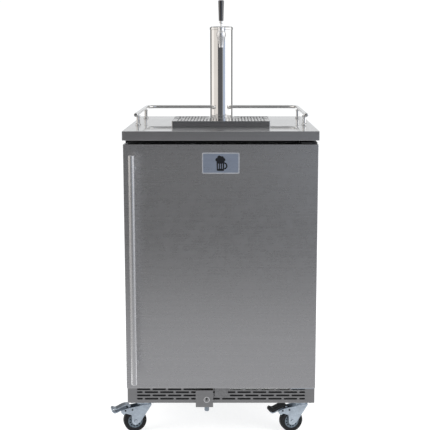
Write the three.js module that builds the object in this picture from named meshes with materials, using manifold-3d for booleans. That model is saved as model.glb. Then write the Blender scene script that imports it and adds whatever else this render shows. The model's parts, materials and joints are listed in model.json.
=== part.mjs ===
// A one-tap kegerator: an undercounter refrigerator on four casters, with a stainless
// worktop, a guard rail, a drip tray and a beer tower. All sizes are in millimetres.
// X runs across the front, Y runs back from the worktop's front edge and Z runs up from
// the floor; the last lines move the origin to the middle of the footprint.
import * as THREE from 'three';
import { mergeVertices } from 'three/addons/utils/BufferGeometryUtils.js';
import Module from 'manifold-3d';

const wasm = await Module();
wasm.setup();

// ---------------------------------------------------------------- driving dimensions

const GAP = 0.3; // air between pieces that touch
const SHEET = 2; // folded stainless sheet
const RADIAL = 24; // sides of a large round
const SMALL_RADIAL = 12; // sides of a small round

const WORKTOP_HALF = 305;
const WORKTOP_DEPTH = 670;
const WORKTOP_TOP = 1000;
const WORKTOP_BAND = 29; // height of the folded front band
const LINE_HOLE_RADIUS = 20; // bore for the beer line, from the cabinet up to the tower

const CABINET_HALF = 300;
const CABINET_FRONT = 58;
const CABINET_BACK = 640;
const CABINET_BOTTOM = 108;
const CABINET_TOP = 960;
const OPENING_HALF = 262; // clear width of the refrigerated space
const OPENING_FLOOR = 190;
const OPENING_TOP = 925;
const FOAM_FLOOR = 168;
const HUMP_FRONT = 480; // the floor steps up behind this line, over the compressor
const HUMP_TOP = 430;
const LINER_BACK = 600;
const MACHINE_FRONT = 512; // compressor space behind and under the hump
const MACHINE_TOP = 396;

const DOOR_HALF = 302.5;
const DOOR_FRONT = 2;
const DOOR_BACK = 46;
const DOOR_BOTTOM = 173;
const DOOR_TOP = 959;
const HINGE = { x: 288, y: 24, pinRadius: 4, boreRadius: 4.6 };
const BAR = { x: -271, y: -60, radius: 9.75, low: 206, high: 933, posts: [261, 885] };
const BADGE = { width: 116, height: 65.6, z: 901 };

const GRILLE = { half: 302, front: 22, low: 117, high: 166.5 };
const SLOT = { length: 43.8, height: 5, pitch: 50, field: 272, rows: [131, 142, 153, 163] };
const SHORT_SLOT = 18.7; // the half slot at each end of every second row

const LOCK = { x: -46, z: 133.6, front: 5.5, plugRadius: 10, camLength: 40, camWidth: 14 };
const LOCK_BOX = { left: -81.5, right: -25.5, low: 108, high: 165 };
const LOCK_TAB = { left: -20, right: 22, low: 137.8, front: 12 };

const TOWER = { y: 350, radius: 38.1, wall: 1.8, top: 1325.5, baseRadius: 41, baseHeight: 5 };
const TOWER_CAP = { radius: 39.2, height: 11.5 };
const SHANK_Z = 1298;
const SHANK_RADIUS = 11;
const FAUCET_Y = 243; // axis of the upright spout
const PIVOT_Z = 1311; // the lever's ball
const SPOUT_END = 1255;
const STEM_RADIUS = 2.3;
const TAP_HANDLE = { low: 1341, high: 1408, lowRadius: 7.7, highRadius: 9.5 };

const TRAY = { half: 160.5, front: 171, back: 405, height: 18.6, notchRadius: 43 };
const RAIL = { half: 277, z: 1039, radius: 6, front: 170, back: 620, bend: 38 };
const RAIL_POST = { radius: 7.2, footRadius: 9, footHeight: 4, rows: [255, 570] };

const WHEEL_RADIUS = 37.5;
const CASTER = { x: 258, frontY: 88, rearY: 585, trail: 29, yaw: 197 };
const HUB_RADIUS = 22.5;
const WHEEL_HALF = 12; // half the tread width
const CHEEK = { inner: 14, thickness: 2.5, top: 95 };
const AXLE_RADIUS = 4;
const PEDAL_PIVOT = { u: 50, z: 88 };

// ---------------------------------------------------------------- materials

function finish(color, roughness, metalness) {
  return new THREE.MeshStandardMaterial({ color, roughness, metalness });
}

const brushedSteel = finish(0x8d8c91, 0.38, 1);
const brightSteel = finish(0xd6d3cf, 0.12, 1);
const zinc = finish(0xa9b3bd, 0.4, 1);
const galvanised = finish(0xa4a7a8, 0.5, 1);
const blackPlastic = finish(0x17181a, 0.45, 0);
const glossBlack = finish(0x0b0c10, 0.12, 0);
const whitePlastic = finish(0xe9eaea, 0.4, 0);
const blackRubber = finish(0x17181b, 0.7, 0);
const hubPlastic = finish(0x5b6873, 0.5, 0);
const insulation = finish(0xd8c79a, 0.9, 0);
const blackPaint = finish(0x1c1d20, 0.4, 0.2);
const badgeSteel = finish(0x8391a4, 0.3, 1);

// ---------------------------------------------------------------- solids

// A closed geometry as a solid that can be joined and cut.
function solid(geometry) {
  const plain = geometry.clone();
  plain.deleteAttribute('normal');
  plain.deleteAttribute('uv');
  const merged = mergeVertices(plain, 1e-4);
  const corners = [];
  for (let i = 0; i < merged.index.count; i += 3) {
    const triangle = [0, 1, 2].map((k) => merged.index.getX(i + k));
    if (new Set(triangle).size === 3) corners.push(...triangle);
  }
  const mesh = new wasm.Mesh({
    numProp: 3,
    vertProperties: merged.attributes.position.array,
    triVerts: new Uint32Array(corners),
  });
  return new wasm.Manifold(mesh);
}

// A solid back as a geometry.
function geometryOf(body) {
  const mesh = body.getMesh();
  const geometry = new THREE.BufferGeometry();
  geometry.setAttribute('position', new THREE.BufferAttribute(mesh.vertProperties, 3));
  geometry.setIndex(new THREE.BufferAttribute(mesh.triVerts, 1));
  geometry.computeVertexNormals();
  return geometry;
}

function cut(geometry, ...tools) {
  return geometryOf(tools.reduce((body, tool) => body.subtract(solid(tool)), solid(geometry)));
}

function join(...geometries) {
  return geometryOf(geometries.slice(1).reduce((body, g) => body.add(solid(g)), solid(geometries[0])));
}

// A block from its low and high limits along X, Y and Z.
function block([x0, x1], [y0, y1], [z0, z1]) {
  const geometry = new THREE.BoxGeometry(x1 - x0, y1 - y0, z1 - z0);
  return geometry.translate((x0 + x1) / 2, (y0 + y1) / 2, (z0 + z1) / 2);
}

// A round rod about a vertical line.
function uprightRod(x, y, z0, z1, radius, sides = SMALL_RADIAL) {
  const geometry = new THREE.CylinderGeometry(radius, radius, z1 - z0, sides);
  return geometry.rotateX(Math.PI / 2).translate(x, y, (z0 + z1) / 2);
}

// A round rod about a line that runs front to back.
function deepRod(x, z, y0, y1, radius, sides = SMALL_RADIAL) {
  const geometry = new THREE.CylinderGeometry(radius, radius, y1 - y0, sides);
  return geometry.translate(x, (y0 + y1) / 2, z);
}

// A body turned about the Z axis. The profile is [radius, z] pairs that start and end on the
// axis, or a loop that closes on itself, counterclockwise with the radius to the right.
function turned(profile, sides = RADIAL) {
  const points = profile.map(([r, z]) => new THREE.Vector2(r, z));
  return new THREE.LatheGeometry(points, sides).rotateX(Math.PI / 2);
}

// A ring of rectangular section about the Z axis.
function ring(inner, outer, z0, z1, sides = RADIAL) {
  const profile = [[outer, z0], [outer, z1], [inner, z1], [inner, z0], [outer, z0]];
  return turned(profile, sides);
}

function outline(points) {
  return new THREE.Shape(points.map(([x, y]) => new THREE.Vector2(x, y)));
}

// An outline in X and Z, extruded back along Y from y0 to y1.
function frontal(shape, y0, y1, curveSegments = 3) {
  const settings = { depth: y1 - y0, bevelEnabled: false, curveSegments };
  return new THREE.ExtrudeGeometry(shape, settings).rotateX(Math.PI / 2).translate(0, y1, 0);
}

// An outline in X and Y, extruded up along Z from z0 to z1.
function flat(shape, z0, z1, curveSegments = 8) {
  const settings = { depth: z1 - z0, bevelEnabled: false, curveSegments };
  return new THREE.ExtrudeGeometry(shape, settings).translate(0, 0, z0);
}

function rectangle(x0, x1, y0, y1) {
  return outline([[x0, y0], [x1, y0], [x1, y1], [x0, y1]]);
}

// A slot with round ends, centred on x and y and running along X.
function roundSlot(x, y, length, height) {
  const r = height / 2;
  const reach = length / 2 - r;
  const slot = new THREE.Path();
  slot.absarc(x + reach, y, r, -Math.PI / 2, Math.PI / 2, false);
  slot.absarc(x - reach, y, r, Math.PI / 2, (3 * Math.PI) / 2, false);
  slot.closePath();
  return slot;
}

function roundedRectangle(width, height, radius) {
  const [w, h] = [width / 2, height / 2];
  const shape = new THREE.Shape();
  shape.absarc(w - radius, h - radius, radius, 0, Math.PI / 2, false);
  shape.absarc(radius - w, h - radius, radius, Math.PI / 2, Math.PI, false);
  shape.absarc(radius - w, radius - h, radius, Math.PI, 1.5 * Math.PI, false);
  shape.absarc(w - radius, radius - h, radius, 1.5 * Math.PI, 2 * Math.PI, false);
  return shape;
}

const kegerator = new THREE.Group();

function piece(name, geometry, material, parent = kegerator) {
  const mesh = new THREE.Mesh(geometry, material);
  mesh.name = name;
  parent.add(mesh);
  return mesh;
}

// ---------------------------------------------------------------- cabinet

// The outer wrapper: folded sheet with a flange round the refrigerated opening, open at
// the bottom, at the front under the flange and at the back of the compressor space.
function cabinetShell() {
  const side = CABINET_HALF - SHEET;
  return cut(
    block([-CABINET_HALF, CABINET_HALF], [CABINET_FRONT, CABINET_BACK], [CABINET_BOTTOM, CABINET_TOP]),
    block([-side, side], [CABINET_FRONT + SHEET, CABINET_BACK - SHEET], [0, CABINET_TOP - SHEET]),
    block([-OPENING_HALF, OPENING_HALF], [0, 100], [OPENING_FLOOR, OPENING_TOP]),
    block([-side, side], [0, 100], [0, FOAM_FLOOR - SHEET]),
    block([-290, 290], [600, 700], [0, MACHINE_TOP]),
    uprightRod(0, TOWER.y, 900, 1000, LINE_HOLE_RADIUS),
  );
}

// The refrigerated space, grown by a margin: a lower part in front of the hump and a
// taller part that reaches back over it.
function coldSpace(margin, front) {
  const half = OPENING_HALF + margin;
  const top = OPENING_TOP + margin;
  return join(
    block([-half, half], [front, HUMP_FRONT + margin], [OPENING_FLOOR - margin, top]),
    block([-half, half], [front, LINER_BACK + margin], [HUMP_TOP - margin, top]),
  );
}

function insulationFoam() {
  const half = CABINET_HALF - SHEET - GAP;
  const front = CABINET_FRONT + SHEET + GAP;
  const back = CABINET_BACK - SHEET - GAP;
  return cut(
    block([-half, half], [front, back], [FOAM_FLOOR, CABINET_TOP - SHEET - GAP]),
    coldSpace(2.5 + GAP, front - 10),
    block([-400, 400], [MACHINE_FRONT, 700], [0, MACHINE_TOP]),
    uprightRod(0, TOWER.y, 900, 1000, LINE_HOLE_RADIUS),
  );
}

function innerLiner() {
  const front = CABINET_FRONT + SHEET + GAP;
  return cut(
    coldSpace(2.5, front),
    coldSpace(0, front - 10),
    uprightRod(0, TOWER.y, 900, 1000, LINE_HOLE_RADIUS),
  );
}

// The louvred panel that closes the compressor space at the back.
function rearCover() {
  const panel = rectangle(-289.7, 289.7, CABINET_BOTTOM + SHEET + 2, MACHINE_TOP - GAP);
  const louvres = { columns: [-180, -60, 60], rows: 8, pitch: 24, low: 190 };
  for (const x of louvres.columns) {
    for (let row = 0; row < louvres.rows; row += 1) {
      panel.holes.push(roundSlot(x, louvres.low + row * louvres.pitch, 90, 8));
    }
  }
  panel.holes.push(rectangle(208, 256, 148, 178));
  return frontal(panel, CABINET_BACK - SHEET, CABINET_BACK, 1);
}

// The flush three-pin appliance inlet: a socket body with a recess for the plug.
function powerInlet() {
  const [y0, y1] = [618, CABINET_BACK + 2];
  const recess = block([216, 248], [y1 - 16, y1 + 5], [154, 172]);
  const pins = [-8, 0, 8].map((x) => block([231 + x, 233 + x], [y0 + 6, y1 - 4], [161, 165]));
  const body = join(
    block([208.3, 255.7], [y0, y1], [148.3, 177.7]),
    block([203, 261], [CABINET_BACK + GAP, y1], [143, 183]),
  );
  return join(cut(body, recess), ...pins);
}

// A welded compressor can on its foot plate.
function compressor() {
  const can = turned([[0, 0], [50, 0], [60, 12], [60, 96], [57, 118], [40, 138], [0, 146], [0, 0]]);
  can.scale(1.45, 0.9, 1).translate(70, 574, CABINET_BOTTOM + SHEET + 6);
  const foot = block([-30, 170], [520, 628], [CABINET_BOTTOM + SHEET + GAP, CABINET_BOTTOM + SHEET + 8]);
  return join(foot, can);
}

// The pan under the foam floor, behind the right half of the grille, that catches the
// defrost water and lets it evaporate.
function condensatePan() {
  return cut(
    block([5, 222], [62, 190], [148, FOAM_FLOOR - GAP]),
    block([8, 219], [65, 187], [151, 200]),
  );
}

// Long slots in staggered rows: a row of whole slots, then a row that is half a pitch over
// with a short slot at each end.
function grilleSlots() {
  const slots = [];
  const add = (left, length, z) => slots.push(roundSlot(left + length / 2, z, length, SLOT.height));
  SLOT.rows.forEach((z, row) => {
    const staggered = row % 2 === 0;
    const whole = staggered ? 10 : 11;
    const first = staggered ? SHORT_SLOT + 6.2 - SLOT.field : -SLOT.field;
    for (let i = 0; i < whole; i += 1) {
      add(first + i * SLOT.pitch, SLOT.length, z);
    }
    if (staggered) {
      add(-SLOT.field, SHORT_SLOT, z);
      add(SLOT.field - SHORT_SLOT, SHORT_SLOT, z);
    }
  });
  return slots;
}

// The grille is one sheet with slots and a return folded back along each side.
function kickGrille() {
  const { half, front, low, high } = GRILLE;
  const face = rectangle(-half, half, low, high);
  face.holes.push(...grilleSlots());
  const returns = [-1, 1].map((side) => {
    const edges = [side * half, side * (half - SHEET)].sort((a, b) => a - b);
    return block(edges, [front, CABINET_FRONT - GAP], [low, high]);
  });
  return join(frontal(face, front, front + SHEET, 1), ...returns);
}

// ---------------------------------------------------------------- worktop and rail

// A sheet pan, open underneath, with a bore for the beer line.
function worktop() {
  const low = WORKTOP_TOP - WORKTOP_BAND;
  return cut(
    block([-WORKTOP_HALF, WORKTOP_HALF], [0, WORKTOP_DEPTH], [low, WORKTOP_TOP]),
    block(
      [-WORKTOP_HALF + SHEET, WORKTOP_HALF - SHEET],
      [SHEET, WORKTOP_DEPTH - SHEET],
      [low - 10, WORKTOP_TOP - SHEET],
    ),
    uprightRod(0, TOWER.y, 900, 1100, LINE_HOLE_RADIUS),
  );
}

// The board inside the pan, whose narrower foot stands on the cabinet and leaves a dark
// gap round the top of the door. A notch clears the upper hinge.
function worktopCore() {
  const [low, high] = [WORKTOP_TOP - WORKTOP_BAND, WORKTOP_TOP - SHEET - GAP];
  const half = WORKTOP_HALF - SHEET - GAP;
  return cut(
    join(
      block([-half, half], [SHEET + GAP, WORKTOP_DEPTH - SHEET - GAP], [low, high]),
      block([-298, 298], [40, CABINET_BACK - 6], [CABINET_TOP + GAP, low + 1]),
    ),
    block([240, 310], [30, 152], [CABINET_TOP - 10, low]),
    uprightRod(0, TOWER.y, 900, 1100, LINE_HOLE_RADIUS),
  );
}

// A path through listed corners, each used as a section of the extrusion.
class SectionPath extends THREE.Curve {
  constructor(points) {
    super();
    this.points = points;
  }

  getPoint(t, target = new THREE.Vector3()) {
    const place = Math.min(Math.max(t, 0), 1) * (this.points.length - 1);
    const first = Math.min(Math.floor(place), this.points.length - 2);
    return target.lerpVectors(this.points[first], this.points[first + 1], place - first);
  }

  getPointAt(u, target) {
    return this.getPoint(u, target);
  }

  getTangentAt(u, target = new THREE.Vector3()) {
    const last = this.points.length - 1;
    const i = Math.round(u * last);
    const before = this.points[Math.max(i - 1, 0)];
    const here = this.points[i];
    const after = this.points[Math.min(i + 1, last)];
    const into = here.clone().sub(before).normalize();
    const out = after.clone().sub(here).normalize();
    return target.copy(into.add(out)).normalize();
  }
}

function circle(radius, sides) {
  const points = [];
  for (let i = 0; i < sides; i += 1) {
    const angle = ((i + 0.5) * 2 * Math.PI) / sides;
    points.push(new THREE.Vector2(radius * Math.cos(angle), radius * Math.sin(angle)));
  }
  return new THREE.Shape(points);
}

function tube(points, radius, sides) {
  const extrudePath = new SectionPath(points);
  return new THREE.ExtrudeGeometry(circle(radius, sides), { steps: points.length - 1, extrudePath });
}

// The rail: a U that is open to the front, with a round bend at each back corner.
function guardRail() {
  const { half, z, radius, front, back, bend } = RAIL;
  const points = [new THREE.Vector3(-half, front, z)];
  const corner = (x, from) => {
    for (let i = 0; i <= 5; i += 1) {
      const angle = from - (i * Math.PI) / 10;
      points.push(new THREE.Vector3(x + bend * Math.cos(angle), back - bend + bend * Math.sin(angle), z));
    }
  };
  corner(bend - half, Math.PI);
  corner(half - bend, Math.PI / 2);
  points.push(new THREE.Vector3(half, front, z));
  return tube(points, radius, 8);
}

function railPost() {
  const { radius, footRadius, footHeight } = RAIL_POST;
  const low = WORKTOP_TOP + GAP;
  const high = RAIL.z - RAIL.radius - GAP;
  const profile = [[0, low], [footRadius, low], [footRadius, low + footHeight]];
  profile.push([radius, low + footHeight], [radius, high], [0, high]);
  return turned(profile, 8);
}

// ---------------------------------------------------------------- tower and faucet

// The column: a tube with a slim base ring welded on and a hole for the shank.
function towerColumn() {
  const { radius, wall, top, baseRadius, baseHeight } = TOWER;
  const low = WORKTOP_TOP + GAP;
  const column = join(
    ring(radius - wall, radius, low + 1, top - TOWER_CAP.height - GAP),
    ring(radius - 12, baseRadius, low, low + baseHeight),
  );
  return cut(column.translate(0, TOWER.y, 0), deepRod(0, SHANK_Z, 290, TOWER.y, SHANK_RADIUS + GAP));
}

function towerCap() {
  const { top } = TOWER;
  const low = top - TOWER_CAP.height;
  const plug = TOWER.radius - TOWER.wall - 1;
  const rim = TOWER_CAP.radius;
  const profile = [[0, low - 1.5], [plug, low - 1.5], [plug, low], [rim, low], [rim, top - 2.5]];
  profile.push([rim - 3, top - 0.5], [0, top]);
  return turned(profile).translate(0, TOWER.y, 0);
}

// The shank: a threaded tube through the tower wall, with a round collar outside and a
// hex nut inside, bored for the beer.
function beerShank() {
  const wallFront = TOWER.y - TOWER.radius;
  const outside = join(
    deepRod(0, SHANK_Z, 276, 366, SHANK_RADIUS),
    deepRod(0, SHANK_Z, wallFront - 12, wallFront - GAP, 15, RADIAL),
    deepRod(0, SHANK_Z, 320, 328, 13.5, 6),
  );
  return cut(outside, deepRod(0, SHANK_Z, 200, 400, 4.5, 8));
}

// The coupling nut draws the faucet onto the shank; four holes take its spanner.
function couplingNut() {
  const wallFront = TOWER.y - TOWER.radius;
  const nut = deepRod(0, SHANK_Z, 268, wallFront - 12 - GAP, 15.5, RADIAL);
  const holes = [45, 135, 225, 315].map((degrees) => {
    const angle = THREE.MathUtils.degToRad(degrees);
    return deepRod(0, 0, -20, 20, 1.8, 8)
      .rotateX(Math.PI / 2)
      .translate(0, 0, 20 + 12.5)
      .rotateY(angle)
      .translate(0, 284, SHANK_Z);
  });
  return cut(nut, deepRod(0, SHANK_Z, 200, 400, SHANK_RADIUS + GAP), ...holes);
}

// The faucet: an upright spout that narrows downwards, a level barrel that meets the
// shank, and a mouth at the top that lets the lever tilt forward.
function faucetBody() {
  const spout = turned([
    [0, SPOUT_END], [7.75, SPOUT_END], [8.6, 1265], [11.5, 1281], [14, 1292], [14.2, 1301],
    [12, 1307], [10.5, 1311], [10.5, 1318], [11.3, 1319], [11.3, 1321.5], [0, 1321.5],
  ], 16).translate(0, FAUCET_Y, 0);
  const barrel = deepRod(0, SHANK_Z, FAUCET_Y, 275.6, SHANK_RADIUS - 0.4);
  const mouth = turned([[0, 1290], [6, 1290], [6, PIVOT_Z + 1], [10.6, 1326], [0, 1326]], SMALL_RADIAL);
  return cut(
    join(spout, barrel, deepRod(0, SHANK_Z, 262, 267.6, 13.5, 16)),
    mouth.translate(0, FAUCET_Y, 0),
    deepRod(0, SHANK_Z, FAUCET_Y - 9, 300, 7.2),
    uprightRod(0, FAUCET_Y, 1240, SHANK_Z, 4.5, 8),
  );
}

// The seal shuttle inside the barrel; the lever's lower end stands in its slot.
function faucetShuttle() {
  const rod = deepRod(0, SHANK_Z, FAUCET_Y - 8, FAUCET_Y + 18, 6.6);
  return cut(rod, block([-3, 3], [FAUCET_Y - 5.4, FAUCET_Y + 4.2], [SHANK_Z - 3.6, SHANK_Z + 10]));
}

// The lever: a finger below the ball, the ball itself, and the threaded stem with its
// locking collar under the handle.
function faucetLever() {
  const [finger, r] = [1.8, STEM_RADIUS];
  return turned([
    [0, SHANK_Z - 1], [finger, SHANK_Z - 1], [finger, 1307], [4.4, 1308.5], [5, PIVOT_Z],
    [4.4, 1313.5], [r, 1315], [r, 1333], [5.5, 1333], [5.5, TAP_HANDLE.low - GAP],
    [0, TAP_HANDLE.low - GAP],
  ], SMALL_RADIAL).translate(0, FAUCET_Y, 0);
}

function tapHandle() {
  const { low, high, lowRadius, highRadius } = TAP_HANDLE;
  const profile = [[0, low], [lowRadius - 0.8, low], [lowRadius, low + 1], [highRadius, high - 3]];
  profile.push([highRadius - 2, high], [0, high]);
  return turned(profile, 16).translate(0, FAUCET_Y, 0);
}

// The beer line, from the shank's tail down the tower to the connector that is crimped on
// under the ceiling.
function beerLine() {
  const points = [new THREE.Vector3(0, TOWER.y + 17, SHANK_Z)];
  for (let i = 1; i <= 3; i += 1) {
    const angle = (i * Math.PI) / 6;
    points.push(new THREE.Vector3(0, TOWER.y + 17 + 6 * Math.sin(angle), SHANK_Z - 6 + 6 * Math.cos(angle)));
  }
  points.push(new THREE.Vector3(0, TOWER.y + 22, SHANK_Z - 60));
  points.push(new THREE.Vector3(0, TOWER.y, SHANK_Z - 200));
  points.push(new THREE.Vector3(0, TOWER.y, OPENING_TOP - 20));
  const top = OPENING_TOP - 18;
  const profile = [[0, top - 46], [6, top - 46], [6, top - 30], [12, top - 26], [12, top - 8]];
  profile.push([7, top - 4], [7, top], [0, top]);
  return join(tube(points, 4, 8), turned(profile, SMALL_RADIAL).translate(0, TOWER.y, 0));
}

// ---------------------------------------------------------------- drip tray

// The tray seen from above, pulled in by an inset, with the notch that takes the tower.
function trayPlan(inset) {
  const { half, front, back, notchRadius } = TRAY;
  const r = notchRadius + inset;
  const plan = new THREE.Shape();
  plan.moveTo(inset - half, front + inset);
  plan.lineTo(half - inset, front + inset);
  plan.lineTo(half - inset, back - inset);
  plan.lineTo(r, back - inset);
  plan.lineTo(r, TOWER.y);
  plan.absarc(0, TOWER.y, r, 0, -Math.PI, true);
  plan.lineTo(-r, back - inset);
  plan.lineTo(inset - half, back - inset);
  plan.closePath();
  return plan;
}

function dripTray() {
  const low = WORKTOP_TOP + GAP;
  return cut(flat(trayPlan(0), low, WORKTOP_TOP + TRAY.height), flat(trayPlan(1.5), low + 1.5, 1100));
}

// The grate: a flat plate with a finger hole at each end, on two turned-down edges.
function dripGrate() {
  const high = WORKTOP_TOP + TRAY.height - 0.4;
  const plan = trayPlan(2.2);
  for (const side of [-1, 1]) {
    const hole = new THREE.Path();
    hole.absarc(side * (TRAY.half - 16), TRAY.front + 117, 9, 0, 2 * Math.PI, false);
    plan.holes.push(hole);
  }
  const reach = TRAY.half - 2.2;
  const edge = (y) => block([-reach, reach], [y, y + 1.4], [WORKTOP_TOP + 2.2, high - 1]);
  return join(flat(plan, high - 1.5, high, 6), edge(TRAY.front + 2.2), ...backEdges(edge));
}

// The turned-down back edge stops each side of the notch.
function backEdges(edge) {
  const notch = TRAY.notchRadius + 2.2;
  const whole = edge(TRAY.back - 3.6);
  const middle = block([-notch, notch], [TRAY.back - 10, TRAY.back + 10], [990, 1100]);
  return [cut(whole, middle)];
}

// ---------------------------------------------------------------- door

function hingeBores() {
  const { x, y, boreRadius } = HINGE;
  return [
    uprightRod(x, y, DOOR_TOP - 20, DOOR_TOP + 10, boreRadius),
    uprightRod(x, y, DOOR_BOTTOM - 10, DOOR_BOTTOM + 20, boreRadius),
  ];
}

// The stainless skin: a pan that is open to the back.
function doorSkin() {
  const inner = DOOR_HALF - SHEET;
  return cut(
    block([-DOOR_HALF, DOOR_HALF], [DOOR_FRONT, DOOR_BACK - SHEET], [DOOR_BOTTOM, DOOR_TOP]),
    block([-inner, inner], [DOOR_FRONT + SHEET, 100], [DOOR_BOTTOM + SHEET, DOOR_TOP - SHEET]),
    ...hingeBores(),
  );
}

// The moulded inner panel, with a raised ridge that enters the cabinet's opening.
function doorLiner() {
  const ridge = { half: 250, low: 208, high: 915, width: 26, back: 68 };
  const around = block([-ridge.half, ridge.half], [DOOR_BACK - 1, ridge.back], [ridge.low, ridge.high]);
  const middle = block(
    [ridge.width - ridge.half, ridge.half - ridge.width],
    [DOOR_BACK, 100],
    [ridge.low + ridge.width, ridge.high - ridge.width],
  );
  const panel = block([-DOOR_HALF, DOOR_HALF], [DOOR_BACK - SHEET, DOOR_BACK], [DOOR_BOTTOM, DOOR_TOP]);
  return join(panel.translate(0, GAP / 2, 0), cut(around, middle));
}

function doorGasket() {
  const outer = { x: 290.5, low: 185, high: 947 };
  const width = 20;
  const shape = rectangle(-outer.x, outer.x, outer.low, outer.high);
  shape.holes.push(rectangle(width - outer.x, outer.x - width, outer.low + width, outer.high - width));
  return frontal(shape, DOOR_BACK + 2 * GAP, CABINET_FRONT - GAP);
}

// A round bar with a welded post near each end.
function doorHandle() {
  const { x, y, radius, low, high, posts } = BAR;
  const chamfer = 1.2;
  const bar = turned([
    [0, low], [radius - chamfer, low], [radius, low + chamfer], [radius, high - chamfer],
    [radius - chamfer, high], [0, high],
  ], 16).translate(x, y, 0);
  return join(bar, ...posts.map((z) => deepRod(x, z, y, DOOR_FRONT - GAP, 6)));
}

function badgePlate() {
  const plate = frontal(roundedRectangle(BADGE.width, BADGE.height, 4), 0.2, DOOR_FRONT - GAP, 1);
  return plate.translate(0, 0, BADGE.z);
}

// The tab hangs from the door's bottom edge, behind the lock's cam when that is turned.
function lockTab() {
  const { left, right, low, front } = LOCK_TAB;
  const top = DOOR_BOTTOM - GAP;
  return join(
    block([left, right], [front, front + SHEET], [low, top]),
    block([left, right], [front, 40], [top - SHEET, top]),
  );
}

// ---------------------------------------------------------------- hinges and lock

function upperHinge() {
  const low = CABINET_TOP + GAP;
  return join(
    block([250, 300], [12, 145], [low, low + 4]),
    uprightRod(HINGE.x, HINGE.y, DOOR_TOP - 16, low + 1, HINGE.pinRadius),
  );
}

function lowerHinge() {
  const [low, high] = [GRILLE.high + 1, GRILLE.high + 5];
  const back = CABINET_FRONT - GAP;
  return join(
    block([225, 300], [12, back], [low, high]),
    block([225, 296], [back - 3, back], [146, high]),
    uprightRod(HINGE.x, HINGE.y, high - 1, DOOR_BOTTOM + 16, HINGE.pinRadius),
  );
}

// The lock's housing: a plate with a left wall, a top and short stubs, open at the bottom
// and on the right where the cam swings.
function lockHousing() {
  const { left, right, low, high } = LOCK_BOX;
  const back = GRILLE.front - GAP;
  const face = LOCK.front + SHEET;
  return join(
    cut(
      block([left, right], [LOCK.front, face], [low, high]),
      deepRod(LOCK.x, LOCK.z, 0, 20, LOCK.plugRadius + GAP, RADIAL),
    ),
    block([left, left + SHEET], [LOCK.front, back], [low, high]),
    block([left, right], [LOCK.front, back], [high - SHEET, high]),
    block([right - SHEET, right], [LOCK.front, back], [146, high]),
    block([left, -59], [LOCK.front, back], [low, low + SHEET]),
  );
}

function lockPlug() {
  const head = deepRod(LOCK.x, LOCK.z, LOCK.front - 2, LOCK.front + SHEET + 1, LOCK.plugRadius, RADIAL);
  const shaft = deepRod(LOCK.x, LOCK.z, LOCK.front + SHEET, LOCK.front + 6.5, 4);
  const keyway = block([LOCK.x - 1, LOCK.x + 1], [0, LOCK.front + 1.5], [LOCK.z - 1, LOCK.z + 7]);
  return cut(join(head, shaft), keyway);
}

function lockCam() {
  const half = LOCK.camWidth / 2;
  const cam = new THREE.Shape();
  cam.absarc(LOCK.x, LOCK.z, half, 0, Math.PI, false);
  cam.lineTo(LOCK.x - half, LOCK.z - LOCK.camLength + 3);
  cam.lineTo(LOCK.x - half + 3, LOCK.z - LOCK.camLength);
  cam.lineTo(LOCK.x + half - 3, LOCK.z - LOCK.camLength);
  cam.lineTo(LOCK.x + half, LOCK.z - LOCK.camLength + 3);
  cam.closePath();
  const hole = new THREE.Path();
  hole.absarc(LOCK.x, LOCK.z, 4 + GAP, 0, 2 * Math.PI, false);
  cam.holes.push(hole);
  return frontal(cam, LOCK.front + SHEET + 1 + GAP, LOCK.front + 6, 6);
}

// ---------------------------------------------------------------- cold space fittings

const FAN = { x: 0, z: 760, radius: 46, hole: 50 };

// The cover over the evaporator on the back wall, with the fan's hole and return slots.
function evaporatorCover() {
  const [front, back] = [556, LINER_BACK - GAP];
  const face = rectangle(-190, 190, 560, 880);
  const opening = new THREE.Path();
  opening.absarc(FAN.x, FAN.z, FAN.hole, 0, 2 * Math.PI, false);
  face.holes.push(opening);
  for (let i = 0; i < 5; i += 1) {
    face.holes.push(roundSlot(0, 585 + i * 16, 200, 6));
  }
  const sides = cut(
    block([-190, 190], [front, back], [560, 880]),
    block([-187, 187], [front - 10, back + 10], [563, 877]),
  );
  return join(frontal(face, front, front + 3, 6), sides);
}

// A five-blade fan on its motor hub.
function fanRotor() {
  const blades = [];
  for (let i = 0; i < 5; i += 1) {
    blades.push(
      block([-9, 9], [-1, 1], [8, FAN.radius])
        .rotateZ(THREE.MathUtils.degToRad(30))
        .rotateY((i * 2 * Math.PI) / 5),
    );
  }
  return join(deepRod(0, 0, -9, 9, 15, 16), ...blades).translate(FAN.x, 575, FAN.z);
}

const DIAL = { y: 200, z: 860 };

function thermostatBox() {
  const wall = OPENING_HALF - GAP;
  return block([wall - 26, wall], [DIAL.y - 45, DIAL.y + 45], [DIAL.z - 28, DIAL.z + 28]);
}

function thermostatDial() {
  const dial = turned([[0, 0], [17, 0], [16, 10], [0, 10]], 18);
  const grip = block([-2.5, 2.5], [-15, 15], [9, 14]);
  const face = OPENING_HALF - GAP - 26 - GAP;
  return join(dial, grip).rotateY(-Math.PI / 2).translate(face, DIAL.y, DIAL.z);
}

// ---------------------------------------------------------------- casters

// Each caster is built with its swivel axis on Z, the trail along U (local X), and the
// wheel's axle along local Y. The floor is at z = 0.
function casterPlate() {
  const top = CABINET_BOTTOM - GAP;
  const race = turned([[0, 96], [24, 96], [27, 99], [27, 103], [24, 105.5], [0, 105.5]], 16);
  return join(block([-44, 44], [-32, 32], [105, top]), race);
}

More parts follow.
